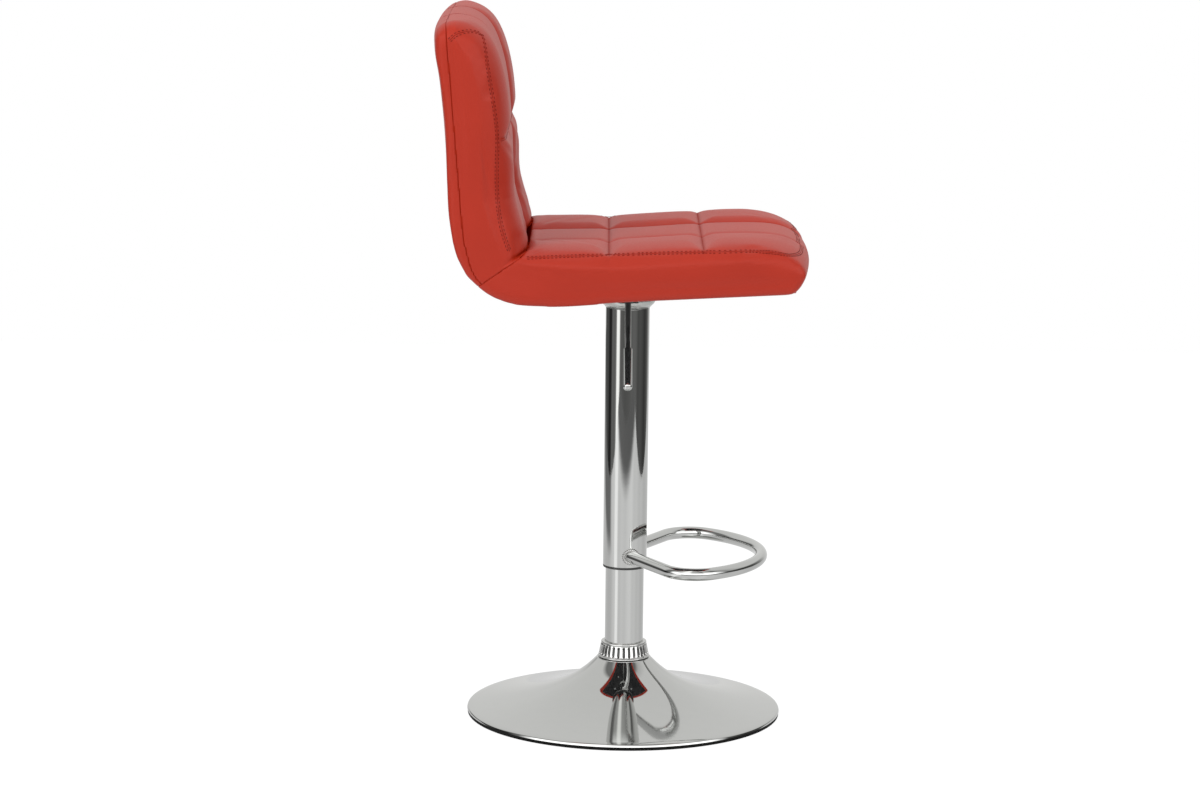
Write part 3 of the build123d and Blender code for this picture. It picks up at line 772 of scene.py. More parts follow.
@dataclass(frozen=True)
class Fade:
    """A smooth change from 0 to 1.

    Attributes:
        start: Where it is still 0.
        end: Where it has come to 1.
    """

    start: float
    end: float

    def at(self, value: float) -> float:
        """How far the change has come at a value."""
        return smooth_step(self.start, self.end, value)


@dataclass(frozen=True)
class RimPoint:
    """A point of the collar's plain rims.

    Attributes:
        share: Its height as a share of the collar's.
        step: How far it stands out from the collar's radius at that end.
        soft: Whether its corner is rounded.
    """

    share: float
    step: float
    soft: bool = False


@dataclass
class Base:
    """Trumpet base: chromed shell, ribbed collar and rubber ring."""

    wall: float = 0.002
    wall_lean: float = 0.4
    rim_foot: float = 0.0015
    rim_height: float = 0.0049
    rim_lean: float = 0.0004
    rim_round: float = 0.0018
    rim_facets: int = 6
    rim_slope: float = math.radians(8.2)
    rim_handle: float = 0.1233
    neck_radius: float = 0.0354
    neck_slope: float = math.radians(45.5)
    neck_handle: float = 0.0292
    curve_points: int = 48
    edge: float = 0.0006
    facets: int = 192
    ribs: int = 28
    rib_facets: int = 12
    rib_depth: float = 0.0024
    # Painted shade in the flutes, by their depth.
    rib_wave: Fade = Fade(0.42, 0.85)
    rib_shade: Fade = Fade(0.1, 0.9)
    rib_band: tuple[float, float] = (0.17, 0.80)
    rib_rows: int = 12
    rib_runout: float = 0.16
    collar_foot: float = 0.0336
    collar_top: float = 0.0292
    collar_lip: float = 0.0012
    collar_chamfer: float = 0.0008
    foot_rim: tuple[RimPoint, ...] = (
        RimPoint(0.0, -0.0012),
        RimPoint(0.05, -0.0012),
        RimPoint(0.06, 0.0),
        RimPoint(0.1, 0.0, True),
        RimPoint(0.13, -0.0009),
    )
    top_rim: tuple[RimPoint, ...] = (
        RimPoint(0.86, 0.0001),
        RimPoint(0.90, 0.0007, True),
        RimPoint(0.97, 0.0002, True),
    )
    # Share of the collar's height with painted shade, in the gap at its foot.
    foot_shade: float = 0.055
    ring_width: float = 0.012
    gap: float = 0.00005

    def shell(self) -> Mesh:
        """The spun shell: rounded rim, trumpet curve and neck, with its wall.

        Returns:
            The shell's mesh.
        """
        low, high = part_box("base_shell")
        bore = self.column_bore()
        rim_top = low.z + self.rim_height
        shape = Profile(high.x, low.z + self.rim_foot)
        shape.line(high.x - self.rim_lean, rim_top - self.rim_round)
        shape.curve(high.x - self.rim_lean - self.rim_round, rim_top, self.rim_facets)
        curve = self.trumpet(high.x - self.rim_lean - self.rim_round, rim_top, high.z)
        for point in curve[1:]:
            shape.line(point.x, point.y)
        shape.line(self.neck_radius, high.z, self.edge)
        shape.line(bore, high.z)
        shape.line(bore, high.z - self.wall)
        # The inner side follows the outer one, without the points nearest to its ends.
        for point in reversed(curve[3:-2]):
            shape.line(point.x - self.wall_lean * self.wall, point.y - self.wall)
        shape.line(high.x - 2 * self.wall, rim_top - self.wall)
        shape.line(high.x - self.wall, low.z + self.rim_foot)
        return as_mesh(shape.spun(self.facets), "base_shell_skin", 30.0)

    def trumpet(self, rim: float, rim_top: float, neck_top: float) -> list[Vector]:
        """Points of the trumpet curve, from the rim up to the neck.

        Args:
            rim: Radius where it starts.
            rim_top: Height where it starts.
            neck_top: Height of the top of the neck.

        Returns:
            Radius and height of each point.
        """
        foot = Vector((rim, rim_top))
        top = Vector((self.neck_radius, neck_top - self.edge))
        leave = foot + self.rim_handle * Vector((-math.cos(self.rim_slope), math.sin(self.rim_slope)))
        arrive = top + self.neck_handle * Vector((math.cos(self.neck_slope), -math.sin(self.neck_slope)))
        return interpolate_bezier(foot, leave, arrive, top, self.curve_points)

    def column_bore(self) -> float:
        """Radius of the hole that the column passes through."""
        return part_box("column_tube")[1].x + self.gap

    def collar_blank(self) -> BMesh:
        """The collar before it is fluted: a slightly conical band between two plain rims.

        Returns:
            The turned shape.
        """
        low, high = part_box("base_collar")
        bore = self.column_bore()
        height = high.z - low.z
        start, end = self.rib_band
        cone = []
        for row in range(self.rib_rows + 1):
            share = start + (end - start) * row / self.rib_rows
            cone.append(RimPoint(share, (self.collar_top - self.collar_foot) * share))
        shape = Profile(bore, low.z)
        for radius, points in (
            (self.collar_foot, self.foot_rim),
            (self.collar_foot, cone),
            (self.collar_top, self.top_rim),
        ):
            for point in points:
                soft = self.edge if point.soft else 0.0
                shape.line(radius + point.step, low.z + point.share * height, soft)
        shape.line(bore + self.collar_lip, high.z, self.edge)
        shape.line(bore, high.z - self.collar_chamfer)
        return shape.spun(self.ribs * self.rib_facets)

    def collar(self) -> Mesh:
        """The collar with its upright flutes, marked where shade is painted into them and into the gap at its
        foot.

        Returns:
            The collar's mesh.
        """
        low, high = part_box("base_collar")
        start, end = self.rib_band
        inside = self.column_bore() + self.gap
        made = self.collar_blank()
        hollow = made.verts.layers.float.new(PAINTED_SHADE_MARK)
        for vert in made.verts:
            height = (vert.co.z - low.z) / (high.z - low.z)
            share = (height - start) / (end - start)
            if vert.co.xy.length > inside:
                wave = 0.5 + 0.5 * math.cos(self.ribs * math.atan2(vert.co.y, vert.co.x))
                runout = smooth_step(0.0, self.rib_runout, min(share, 1 - share))
                flute = self.rib_wave.at(wave) * runout
                vert.co.xy *= 1 - self.rib_depth * flute / vert.co.xy.length
                # Painted shade in the bottoms of the flutes.
                vert[hollow] = self.rib_shade.at(flute)
            # Painted shade in the gap between the collar's foot and the shell.
            if height < self.foot_shade:
                vert[hollow] = 1.0
        return as_mesh(made, "collar_ribbed", 50.0)

    def ring(self) -> Mesh:
        """The rubber ring that the rim stands on.

        Returns:
            The ring's mesh.
        """
        low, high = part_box("floor_ring")
        shell_low, shell_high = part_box("base_shell")
        inner = high.x - self.ring_width
        outer = shell_high.x - self.edge
        shape = Profile(inner, low.z)
        shape.line(outer, low.z, self.edge)
        shape.line(outer, shell_low.z + self.rim_foot)
        shape.line(outer - self.wall, shell_low.z + self.rim_foot)
        shape.line(outer - 2 * self.wall, shell_low.z)
        shape.line(inner, shell_low.z, self.edge)
        return as_mesh(shape.spun(self.facets), "ring_of_rubber")

    def build(self) -> None:
        """Make the base's pieces and dress them."""
        add_piece("base_shell_skin", self.shell(), CHROME, Slot.CHROME, Body.BASE, "base_shell")
        add_piece("collar_ribbed", self.collar(), FLUTED_CHROME, Slot.CHROME, Body.BASE, "base_collar")
        add_piece("ring_of_rubber", self.ring(), RUBBER, Slot.RUBBER, Body.BASE, "floor_ring")


@dataclass
class Lift:
    """Column, cover sleeve, its guide ring and the cone under the seat."""

    column_wall: float = 0.0015
    sleeve_wall: float = 0.0012
    lip: float = 0.003
    edge: float = 0.0004
    slide_gap: float = 0.00008
    press_gap: float = 0.00005
    hub_wall: float = 0.002
    hub_round: float = 0.003
    notch_width: float = 0.026
    notch_low: float = 0.5485
    facets: int = 128

    def pipe(self, node: str, wall: float) -> Mesh:
        """A tube on the column axis with broken edges.

        Args:
            node: The frame's node that gives its length and radius.
            wall: Thickness of its wall.

        Returns:
            The tube's mesh.
        """
        low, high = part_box(node)
        shape = Profile(high.x - wall, low.z)
        shape.line(high.x, low.z, self.edge)
        shape.line(high.x, low.z + 3 * self.edge)
        shape.line(high.x, high.z - 3 * self.edge)
        shape.line(high.x, high.z, self.edge)
        shape.line(high.x - wall, high.z)
        return as_mesh(shape.spun(self.facets), node + "_pipe")

    def guide_ring(self) -> Mesh:
        """The black guide bush, with the lip that shows under the sleeve.

        Returns:
            The bush's mesh.
        """
        low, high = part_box("sleeve_bush")
        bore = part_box("column_tube")[1].x + self.slide_gap
        inside = high.x - self.sleeve_wall - self.press_gap
        shape = Profile(bore, low.z)
        shape.line(high.x, low.z, 2 * self.edge)
        shape.line(high.x, low.z + self.lip, self.edge)
        shape.line(inside, low.z + self.lip)
        shape.line(inside, high.z)
        shape.line(bore, high.z)
        return as_mesh(shape.spun(self.facets), "sleeve_guide_ring")

    def cone(self) -> Mesh:
        """The cone between sleeve and seat plate, with the notch for the lever.

        Returns:
            The cone's mesh, still without its wall.
        """
        low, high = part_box("hub_cover")
        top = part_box("sleeve")[1].x
        shape = Profile(top, low.z)
        shape.line(high.x, low.z + high.x - top, self.hub_round)
        shape.line(high.x, high.z)
        made = shape.spun(self.facets, closed=False)
        half = self.notch_width / 2
        cuts = ((FORWARD * half, FORWARD), (FORWARD * -half, FORWARD), (UP * self.notch_low, UP))
        for place, normal in cuts:
            whole = made.verts[:] + made.edges[:] + made.faces[:]
            bmesh.ops.bisect_plane(made, geom=whole, plane_co=place, plane_no=normal)
        notch = []
        for face in made.faces:
            middle = face.calc_center_median()
            if abs(middle.x) < half and middle.y < 0 and middle.z > self.notch_low:
                notch.append(face)
        bmesh.ops.delete(made, geom=notch, context="FACES")
        return as_mesh(made, "hub_cone")

    def build(self) -> None:
        """Make the lift's pieces and dress them."""
        column = self.pipe("column_tube", self.column_wall)
        add_piece("column_pipe", column, DRAWN_CHROME, Slot.CHROME, Body.BASE, "column_tube")
        sleeve = self.pipe("sleeve", self.sleeve_wall)
        add_piece("sleeve_pipe", sleeve, CHROME, Slot.CHROME, Body.SEAT, "sleeve")
        ring = self.guide_ring()
        add_piece("sleeve_guide_ring", ring, BLACK_PLASTIC, Slot.BLACK_PLASTIC, Body.SEAT, "sleeve_bush")
        hub = add_piece("hub_cone", self.cone(), HUB_GREY, Slot.HUB_FINISH, Body.SEAT, "hub_cover")
        wall = hub.modifiers.new("wall", "SOLIDIFY")
        wall.thickness = self.hub_wall
        wall.offset = -1.0


@dataclass
class Footrest:
    """Bent footrest loop with its two weld beads."""

    tube_radius: float = 0.008
    root: tuple[float, float] = (0.008, 0.028)
    leg_angle: float = math.radians(61.0)
    bend_radius: float = 0.040
    bend_facets: int = 20
    front_radius: float = 0.148
    front_centre: float = 0.030
    front_facets: int = 72
    sink: float = 0.0005
    bead: float = 0.0024
    bead_outside: float = 0.0006
    bead_off: float = 0.0003
    ripple: float = 0.0005
    ripples: int = 26
    ripple_points: int = 5
    sides: int = 32

    def leg(self, side: int) -> Vector:
        """The way that a leg leaves the sleeve, on the side of +Y or -Y."""
        return Vector((math.cos(self.leg_angle), side * math.sin(self.leg_angle), 0.0))

    def onto_sleeve(self, point: Vector, leg: Vector, reach: float) -> Vector:
        """Slide a point along a leg until it is at a distance from the column axis.

        Args:
            point: The point.
            leg: The way of the leg.
            reach: The distance.

        Returns:
            The point's new place.
        """
        along = point.xy.dot(leg.xy)
        slide = -along + math.sqrt(along**2 - point.xy.length_squared + reach**2)
        return point + leg * slide

    def loop(self) -> Mesh:
        """The bent tube, coped to the sleeve at both ends.

        Returns:
            The loop's mesh.
        """
        leg = self.leg(1)
        inward = Vector((leg.y, -leg.x, 0.0))
        root = Vector((*self.root, self.height()))
        front = Vector((self.front_centre, 0.0, self.height()))
        start = root + inward * self.bend_radius - front
        along = start.dot(leg)
        spare = (self.front_radius - self.bend_radius) ** 2 - start.length_squared
        length = math.sqrt(along**2 + spare) - along
        bend = root + leg * length + inward * self.bend_radius
        outward = (bend - front).normalized()
        turn = math.acos(outward.dot(-inward))
        sweep = 2 * math.atan2(outward.y, outward.x)
        other = Vector((bend.x, -bend.y, bend.z))
        tube = Tube(root, leg, self.tube_radius, self.sides)
        tube.run(length).bend(bend, UP, -turn, self.bend_facets).bend(front, UP, -sweep, self.front_facets)
        tube.bend(other, UP, -turn, self.bend_facets).run(length)
        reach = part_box("sleeve")[1].x - self.sink
        last = {vert for edge in tube.rim for vert in edge.verts}
        for side, ends in ((1, tube.first), (-1, last)):
            for vert in ends:
                vert.co = self.onto_sleeve(vert.co, self.leg(side), reach)
        return as_mesh(tube.closed(), "footrest_loop", 60.0)

    def height(self) -> float:
        """Height of the loop's middle line."""
        low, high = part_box("footrest")
        return (low.z + high.z) / 2

    def weld(self, side: int) -> Mesh:
        """One rippled weld bead, where a leg meets the sleeve.

        Args:
            side: 1 for the leg on the side of +Y, -1 for the other.

        Returns:
            The bead's mesh.
        """
        leg = self.leg(side)
        across = Vector((leg.y, -leg.x, 0.0))
        root = Vector((self.root[0], side * self.root[1], self.height()))
        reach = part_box("sleeve")[1].x + self.bead_off
        path, radii = [], []
        count = self.ripples * self.ripple_points
        for step in range(count):
            angle = FULL_TURN * step / count
            spot = across * math.cos(angle) + UP * math.sin(angle)
            path.append(self.onto_sleeve(root + spot * (self.tube_radius + self.bead_outside), leg, reach))
            radii.append(self.bead + self.ripple * math.sin(self.ripples * angle))
        return piped("weld_bead", [(path, radii)], True, 3)

    def build(self) -> None:
        """Make the loop and its beads and dress them."""
        add_piece("footrest_loop", self.loop(), CHROME, Slot.CHROME, Body.SEAT, "footrest")
        add_piece("weld_bead_right", self.weld(-1), WELD, Slot.WELD, Body.SEAT, "footrest_welds")
        add_piece("weld_bead_left", self.weld(1), WELD, Slot.WELD, Body.SEAT)


@dataclass
class Lever:
    """Height lever: a bent rod with a plated grip."""

    rod_radius: float = 0.004
    rod_edge: float = 0.0006
    rod_sides: int = 24
    tip: float = 0.004
    pivot: float = 0.026
    elbow: float = 0.048
    elbow_radius: float = 0.018
    elbow_facets: int = 12
    slope: float = math.radians(45.0)
    grip_start: float = 0.105
    grip_length: float = 0.064
    grip_depth: float = 0.040
    grip_radius: float = 0.0058
    grip_gap: float = 0.0001
    grip_sides: int = 32
    shoulder_rings: int = 5
    dome_height: float = 0.8
    dome_rings: int = 9
    boss_radius: float = 0.006
    boss_width: float = 0.009
    height: float = 0.557

    def grip_place(self) -> tuple[Vector, Vector]:
        """Where the grip starts and the way that it points.

        Returns:
            The place and the way.
        """
        heading = Vector((0.0, -math.cos(self.slope), -math.sin(self.slope)))
        elbow = Vector((0.0, -self.elbow, self.height))
        return elbow + heading * ((self.grip_start - self.elbow) / math.cos(self.slope)), heading

    def rod(self) -> Mesh:
        """The bent rod with its pivot boss.

        Returns:
            The rod's mesh.
        """
        cut = self.elbow_radius * math.tan(self.slope / 2)
        place, _ = self.grip_place()
        elbow = Vector((0.0, -self.elbow, self.height))
        start = Vector((0.0, self.tip, self.height))
        tube = Tube(start, -ACROSS, self.rod_radius - self.rod_edge, self.rod_sides)
        tube.run(self.rod_edge, self.rod_radius)
        tube.run(self.tip + self.elbow - cut - self.rod_edge)
        tube.bend(tube.middle - UP * self.elbow_radius, FORWARD, self.slope, self.elbow_facets)
        tube.run((place - elbow).length - cut + self.grip_depth)
        shape = tube.closed()
        turn = Matrix.Rotation(math.pi / 2, 4, "Y")
        boss = Matrix.Translation((0.0, -self.pivot, self.height)) @ turn
        bmesh.ops.create_cone(
            shape, cap_ends=True, segments=32, radius1=self.boss_radius, radius2=self.boss_radius,
            depth=self.boss_width, matrix=boss,
        )
        return as_mesh(shape, "lever_rod")

    def grip(self) -> Mesh:
        """The grip: a shoulder, a straight barrel and a domed end.

        Returns:
            The grip's mesh.
        """
        place, heading = self.grip_place()
        radius = self.grip_radius
        shoulder = radius - self.rod_radius
        dome = self.dome_height * radius
        tube = Tube(place, heading, self.rod_radius + self.grip_gap, self.grip_sides)
        for step in range(1, self.shoulder_rings + 1):
            turn = math.pi / 2 * step / self.shoulder_rings
            tube.run(shoulder / self.shoulder_rings, self.rod_radius + shoulder * math.sin(turn))
        tube.run(shoulder)
        tube.run(self.grip_length - 3 * shoulder - dome)
        tube.run(shoulder)
        turn = math.pi / 2 / self.dome_rings
        for step in range(1, self.dome_rings):
            rise = math.sin(turn * step) - math.sin(turn * (step - 1))
            tube.run(dome * rise, radius * math.cos(turn * step))
        return as_mesh(tube.closed(), "lever_grip_barrel", 60.0)

    def build(self) -> None:
        """Make the lever's pieces and dress them."""
        add_piece("lever_rod", self.rod(), CHROME, Slot.CHROME, Body.LEVER, "lever_arm")
        add_piece("lever_grip_barrel", self.grip(), CHROME, Slot.CHROME, Body.LEVER, "lever_grip")


@dataclass(frozen=True)
class Knot:
    """A point of the cover's side outline, in the tilted frame of the seat."""

    forward: float
    up: float
    corner: bool = False


@dataclass(frozen=True)
class Roll:
    """A cushion's rolled edge.

    Attributes:
        depth: How far the edge is pulled in.
        width: How far inwards that reaches.
    """

    depth: float
    width: float


class Panel(Enum):
    """Panels that the cover is sewn from."""

    SEAT = 0
    BACK = 1
    REAR = 2


@dataclass
class Upholstery:
    """Seat and back cushions and the rear cover, blown up as one block, then sewn and cut apart.

    Everything is worked out in the tilted frame of the seat: X forward, Y across, Z up
    from the underside of the seat.
    """

    # The plain block, and how it stands.
    tilt: float = math.radians(3.2)
    underside: float = 0.571
    rake: float = math.radians(1.8)
    back_reach: float = 0.2135
    bend: float = 0.100
    half_width: float = 0.1985
    edge: float = 0.004
    voxel: float = 0.005
    smoothing: int = 3

    # How the cover is blown up, and what holds it meanwhile.
    swell: float = 0.0035
    pressure: float = 4.0
    frames: int = 20
    frame_hold: Fade = Fade(0.022, 0.010)
    side_free: float = 0.01

    # Sewn channels, rolled edges and the broad forms between them.
    seat_lines: tuple[float, float] = (-0.022, 0.096)
    back_line: float = 0.209
    column: float = 0.065
    line_depth: float = 0.0066
    line_width: float = 0.024
    middle_drop: float = 0.0032
    seat_roll: Roll = Roll(0.0068, 0.072)
    back_roll: Roll = Roll(0.018, 0.060)
    bow: float = 0.012
    rear_crown: float = 0.0065
    crest_roll: Roll = Roll(0.010, 0.03)
    crest_behind: float = 0.05

    # Where the pull of each channel and edge is felt.
    seat_blend: Fade = Fade(0.03, 0.01)
    back_blend: Fade = Fade(-0.03, -0.01)
    facing: Fade = Fade(0.1, 0.6)
    crest_facing: Fade = Fade(0.1, 0.8)
    top_layer: Fade = Fade(0.03, 0.003)
    front_layer: Fade = Fade(0.045, 0.004)
    crest_layer: Fade = Fade(0.04, 0.003)
    rear_layer: Fade = Fade(0.04, 0.015)
    upper_back: Fade = Fade(0.12, 0.24)
    nose: Fade = Fade(0.12, 0.21)
    cut_slack: float = 0.0002
    cut_facing: float = 0.45

    # The fold between seat and back, and the sewn diagonal down to the heel.
    crease: tuple[float, float] = (-0.1325, 0.0635)
    heel: tuple[float, float] = (-0.1873, 0.0293)
    crease_sink: float = 0.005
    crease_reach: float = 0.012
    crease_pinch: float = 0.62
    pinch_layer: Fade = Fade(0.026, 0.008)
    crease_margin: float = 0.002

    # Where shade is painted into the folds.
    channel_shade: Fade = Fade(0.004, 0.0)
    channel_inset: Fade = Fade(0.006, 0.016)
    channel_facing: float = 0.3
    crease_shade: Fade = Fade(0.014, 0.010)
    crease_inset: Fade = Fade(0.002, 0.008)

    # The seam round the rear panel, and the groove of all panel seams.
    rear_seam: float = 0.0145
    rear_taper: float = 0.008
    rear_taper_run: Fade = Fade(-0.02, -0.075)
    rear_margin: float = 0.02
    groove: float = 0.0022
    groove_depth: float = 0.0009

    # The underside, flat where the dust cloth covers it.
    skin: float = 0.0011
    skin_reach: float = 0.0044
    below_facing: float = -0.5
    cloth_half: float = 0.176
    cloth_margin: float = 0.006
    cloth_curl: float = math.radians(32.0)

    outline: tuple[Knot, ...] = (
        Knot(0.204, 0.0009, True),
        Knot(0.2125, 0.009),
        Knot(0.2190, 0.020),
        Knot(0.2212, 0.033),
        Knot(0.2172, 0.0430),
        Knot(0.2068, 0.0522),
        Knot(0.1905, 0.0618),
        Knot(0.1530, 0.0670),
        Knot(0.000, 0.0667),
        Knot(-0.085, 0.0687),
        Knot(-0.112, 0.0692),
        Knot(-0.130, 0.064, True),
        Knot(-0.129, 0.085),
        Knot(-0.135, 0.110),
        Knot(-0.140, 0.136),
        Knot(-0.1385, 0.182),
        Knot(-0.1385, 0.235),
        Knot(-0.1415, 0.279),
        Knot(-0.1500, 0.3190),
        Knot(-0.1650, 0.3465),
        Knot(-0.1945, 0.3595),
        Knot(-0.2255, 0.3515),
        Knot(-0.2298, 0.331),
        Knot(-0.2257, 0.285),
        Knot(-0.2200, 0.160),
        Knot(-0.21655, 0.0969),
        Knot(-0.2090, 0.0617),
        Knot(-0.1873, 0.0293),
        Knot(-0.1549, 0.0085),
        Knot(-0.1166, 0.0009),
        Knot(0.000, 0.0009),
    )

    def __post_init__(self) -> None:
        """Work out the stretches of the outline and the ways that the sewing is measured by."""
        self.corner = self.outline[11]
        self.top_line = sorted((knot.forward, knot.up) for knot in self.outline[4:12])
        self.front_line = sorted((knot.up, knot.forward) for knot in self.outline[11:20])
        self.crest_line = sorted((knot.forward, knot.up) for knot in self.outline[18:23])
        self.diagonal = (Vector(self.heel) - Vector(self.crease)).normalized()
        self.rear = Vector((-math.cos(self.rake), -math.sin(self.rake)))
        self.along = Vector((-math.sin(self.rake), math.cos(self.rake)))
        self.arc = self.bend * (math.pi / 2 - self.rake)
        reach = self.bend / math.cos(self.rake) - self.bend * math.tan(self.rake) - self.back_reach
        self.bend_centre = Vector((reach, self.bend))

    def place(self) -> Matrix:
        """Matrix from the seat's frame to the stool's."""
        return Matrix.Translation((0.0, 0.0, self.underside)) @ Matrix.Rotation(-self.tilt, 4, "Y")

    def back_place(self, point: Vector) -> tuple[float, float]:
        """Depth of a point ahead of the rear line, and its height along the back."""
        off = Vector((point.x + self.back_reach, point.z))
        return -off.dot(self.rear), off.dot(self.along)

    def behind_diagonal(self, point: Vector) -> float:
        """Distance of a point behind the sewn diagonal between seat and back."""
        off = Vector((point.x - self.crease[0], point.z - self.crease[1]))
        return self.diagonal.y * off.x - self.diagonal.x * off.y

    def off_crease(self, point: Vector) -> float:
        """Distance of a point from the corner between seat and back."""
        return math.hypot(point.x - self.corner.forward, point.z - self.corner.up)

    def off_seat_lines(self, point: Vector) -> float:
        """Distance of a point from the nearest crosswise channel of the seat."""
        return min(abs(point.x - line) for line in self.seat_lines)

    def off_back_line(self, point: Vector) -> float:
        """Distance of a point from the crosswise channel of the back."""
        return abs(self.back_place(point)[1] - self.back_line)

    def off_channels(self, point: Vector) -> float:
        """Distance of a point from the nearest channel of its cushion."""
        crosswise = self.off_back_line if self.behind_diagonal(point) > 0 else self.off_seat_lines
        return min(crosswise(point), abs(abs(point.y) - self.column))

    def below_top(self, point: Vector) -> float:
        """Distance of a point below the top of the seat."""
        return between(self.top_line, point.x) - point.z

    def behind_front(self, point: Vector) -> float:
        """Distance of a point behind the front of the back."""
        return between(self.front_line, point.z) - point.x

    def below_crest(self, point: Vector) -> float:
        """Distance of a point below the top of the back."""
        return between(self.crest_line, point.x) - point.z

    def block(self) -> Mesh:
        """The plain block: the side outline drawn as a curve and given its width.

        Returns:
            The block's mesh.
        """
        curve = bpy.data.curves.new("block", "CURVE")
        curve.dimensions = "2D"
        curve.fill_mode = "BOTH"
        curve.extrude = self.half_width - self.edge
        curve.bevel_depth = self.edge
        curve.bevel_resolution = 2
        curve.offset = -self.edge
        spline = curve.splines.new("BEZIER")
        spline.bezier_points.add(len(self.outline) - 1)
        for point, knot in zip(spline.bezier_points, self.outline):
            point.co = (knot.forward, knot.up, 0.0)
            kind = "VECTOR" if knot.corner else "AUTO"
            point.handle_left_type = kind
            point.handle_right_type = kind
        spline.use_cyclic_u = True
        spline.resolution_u = 6
        mesh = curve_mesh(curve)
        mesh.transform(Matrix.Rotation(math.pi / 2, 4, "X"))
        return mesh

    def evaluated(self, mesh: Mesh, kind: str, **settings: object) -> Mesh:
        """A mesh with one modifier applied.

        Args:
            mesh: The mesh.
            kind: The modifier's type.
            settings: Its settings.

        Returns:
            The new mesh.
        """
        holder = put("holder", mesh)
        modifier = holder.modifiers.new("step", kind)
        for key, value in settings.items():
            setattr(modifier, key, value)
        graph = bpy.context.evaluated_depsgraph_get()
        made = bpy.data.meshes.new_from_object(holder.evaluated_get(graph))
        bpy.data.objects.remove(holder)
        return made

    def held(self, point: Vector) -> float:
        """How firmly a point of the cover is held while it is blown up.

        Args:
            point: The point.

        Returns:
            1 where the frame or a sewn line holds it, 0 where it is free.
        """
        firm = self.frame_hold.at(self.wall_place(point)[0])
        if abs(point.y) >= self.half_width - self.side_free:
            return firm
        return max(firm, smooth_step(2 * self.voxel, self.voxel, self.off_channels(point)))

    def blown_up(self, mesh: Mesh) -> None:
        """Swell the cover with cloth simulation, and cap how far each point moves.

        Args:
            mesh: The evenly meshed block, which is changed.
        """
        rest = [vert.co.copy() for vert in mesh.vertices]
        scene = bpy.context.scene
        holder = put("blown_up", mesh)
        group = holder.vertex_groups.new(name="held")
        for index, point in enumerate(rest):
            group.add([index], self.held(point), "REPLACE")
        cloth = holder.modifiers.new("cloth", "CLOTH")
        cloth.settings.use_pressure = True
        cloth.settings.uniform_pressure_force = self.pressure
        cloth.settings.vertex_group_mass = group.name
        cloth.settings.effector_weights.gravity = 0.0
        for step in range(1, self.frames + 1):
            scene.frame_set(step)
        graph = bpy.context.evaluated_depsgraph_get()
        swollen = holder.evaluated_get(graph).to_mesh()
        moved = [vert.co.copy() for vert in swollen.vertices]
        holder.modifiers.remove(cloth)
        bpy.data.objects.remove(holder)
        scene.frame_set(1)
        for vert, old, new in zip(mesh.vertices, rest, moved):
            step = new - old
            if step.length > 0:
                vert.co = old + step.normalized() * self.swell * math.tanh(step.length / self.swell)

    def wall_place(self, point: Vector) -> tuple[float, float]:
        """Where a point lies by the outer wall.

        Args:
            point: The point.

        Returns:
            Its distance inside the wall, and its place along the wall up from the bend.
        """
        off = Vector((point.x, point.z)) - self.bend_centre
        up = off.dot(self.along)
        if up >= 0:
            return self.bend - off.dot(self.rear), up
        if off.x >= 0:
            return self.bend + off.y, -self.arc - off.x
        return self.bend - off.length, -self.bend * math.atan2(-up, off.dot(self.rear))

    def unrolled(self, point: Vector) -> Vector:
        """A point with the outer wall laid flat: X inwards from the rear seam, Z along the wall."""
        inward, length = self.wall_place(point)
        return Vector((inward - self.seam_depth(length), point.y, length))

    def rolled(self, flat: Vector) -> Vector:
        """The reverse of unrolled.

        Args:
            flat: A point with the outer wall laid flat.

        Returns:
            The point in the seat's frame.
        """
        inside = self.bend - flat.x - self.seam_depth(flat.z)
        if flat.z >= 0:
            off = self.rear * inside + self.along * flat.z
        elif flat.z < -self.arc:
            off = Vector((-self.arc - flat.z, -inside))
        else:
            turn = -flat.z / self.bend
            off = (self.rear * math.cos(turn) - self.along * math.sin(turn)) * inside
        return Vector((self.bend_centre.x + off.x, flat.y, self.bend_centre.y + off.y))

    def seam_depth(self, length: float) -> float:
        """How far inside the outer wall the rear seam runs, by the length along the wall."""
        return self.rear_seam - self.rear_taper * self.rear_taper_run.at(length)

    def cut(
        self,
        shape: BMesh,
        chosen: Callable[[BMFace], bool],
        place: Vector,
        normal: Vector,
    ) -> list[BMVert]:
        """Cut some faces along a plane.

        Args:
            shape: The mesh.
            chosen: Whether a face is to be cut.
            place: A point of the plane.
            normal: Its normal.

        Returns:
            The points on the cut.
        """
        faces = list(filter(chosen, shape.faces))
        edges = {edge for face in faces for edge in face.edges}
        verts = {vert for face in faces for vert in face.verts}
        made = bmesh.ops.bisect_plane(
            shape, geom=[*verts, *edges, *faces], plane_co=place, plane_no=normal, dist=self.cut_slack,
        )
        return [part for part in made["geom_cut"] if isinstance(part, BMVert)]

    def is_top(self, face: BMFace) -> bool:
        """Whether a face belongs to the tufted top of the seat."""
        return face.normal.z > self.cut_facing and self.behind_diagonal(face.calc_center_median()) < 0

    def is_front(self, face: BMFace) -> bool:
        """Whether a face belongs to the tufted front of the back."""
        return face.normal.x > self.cut_facing and self.behind_diagonal(face.calc_center_median()) > 0

    def is_tufted(self, face: BMFace) -> bool:
        """Whether a face belongs to a tufted side of the seat or the back."""
        return self.is_top(face) or self.is_front(face)

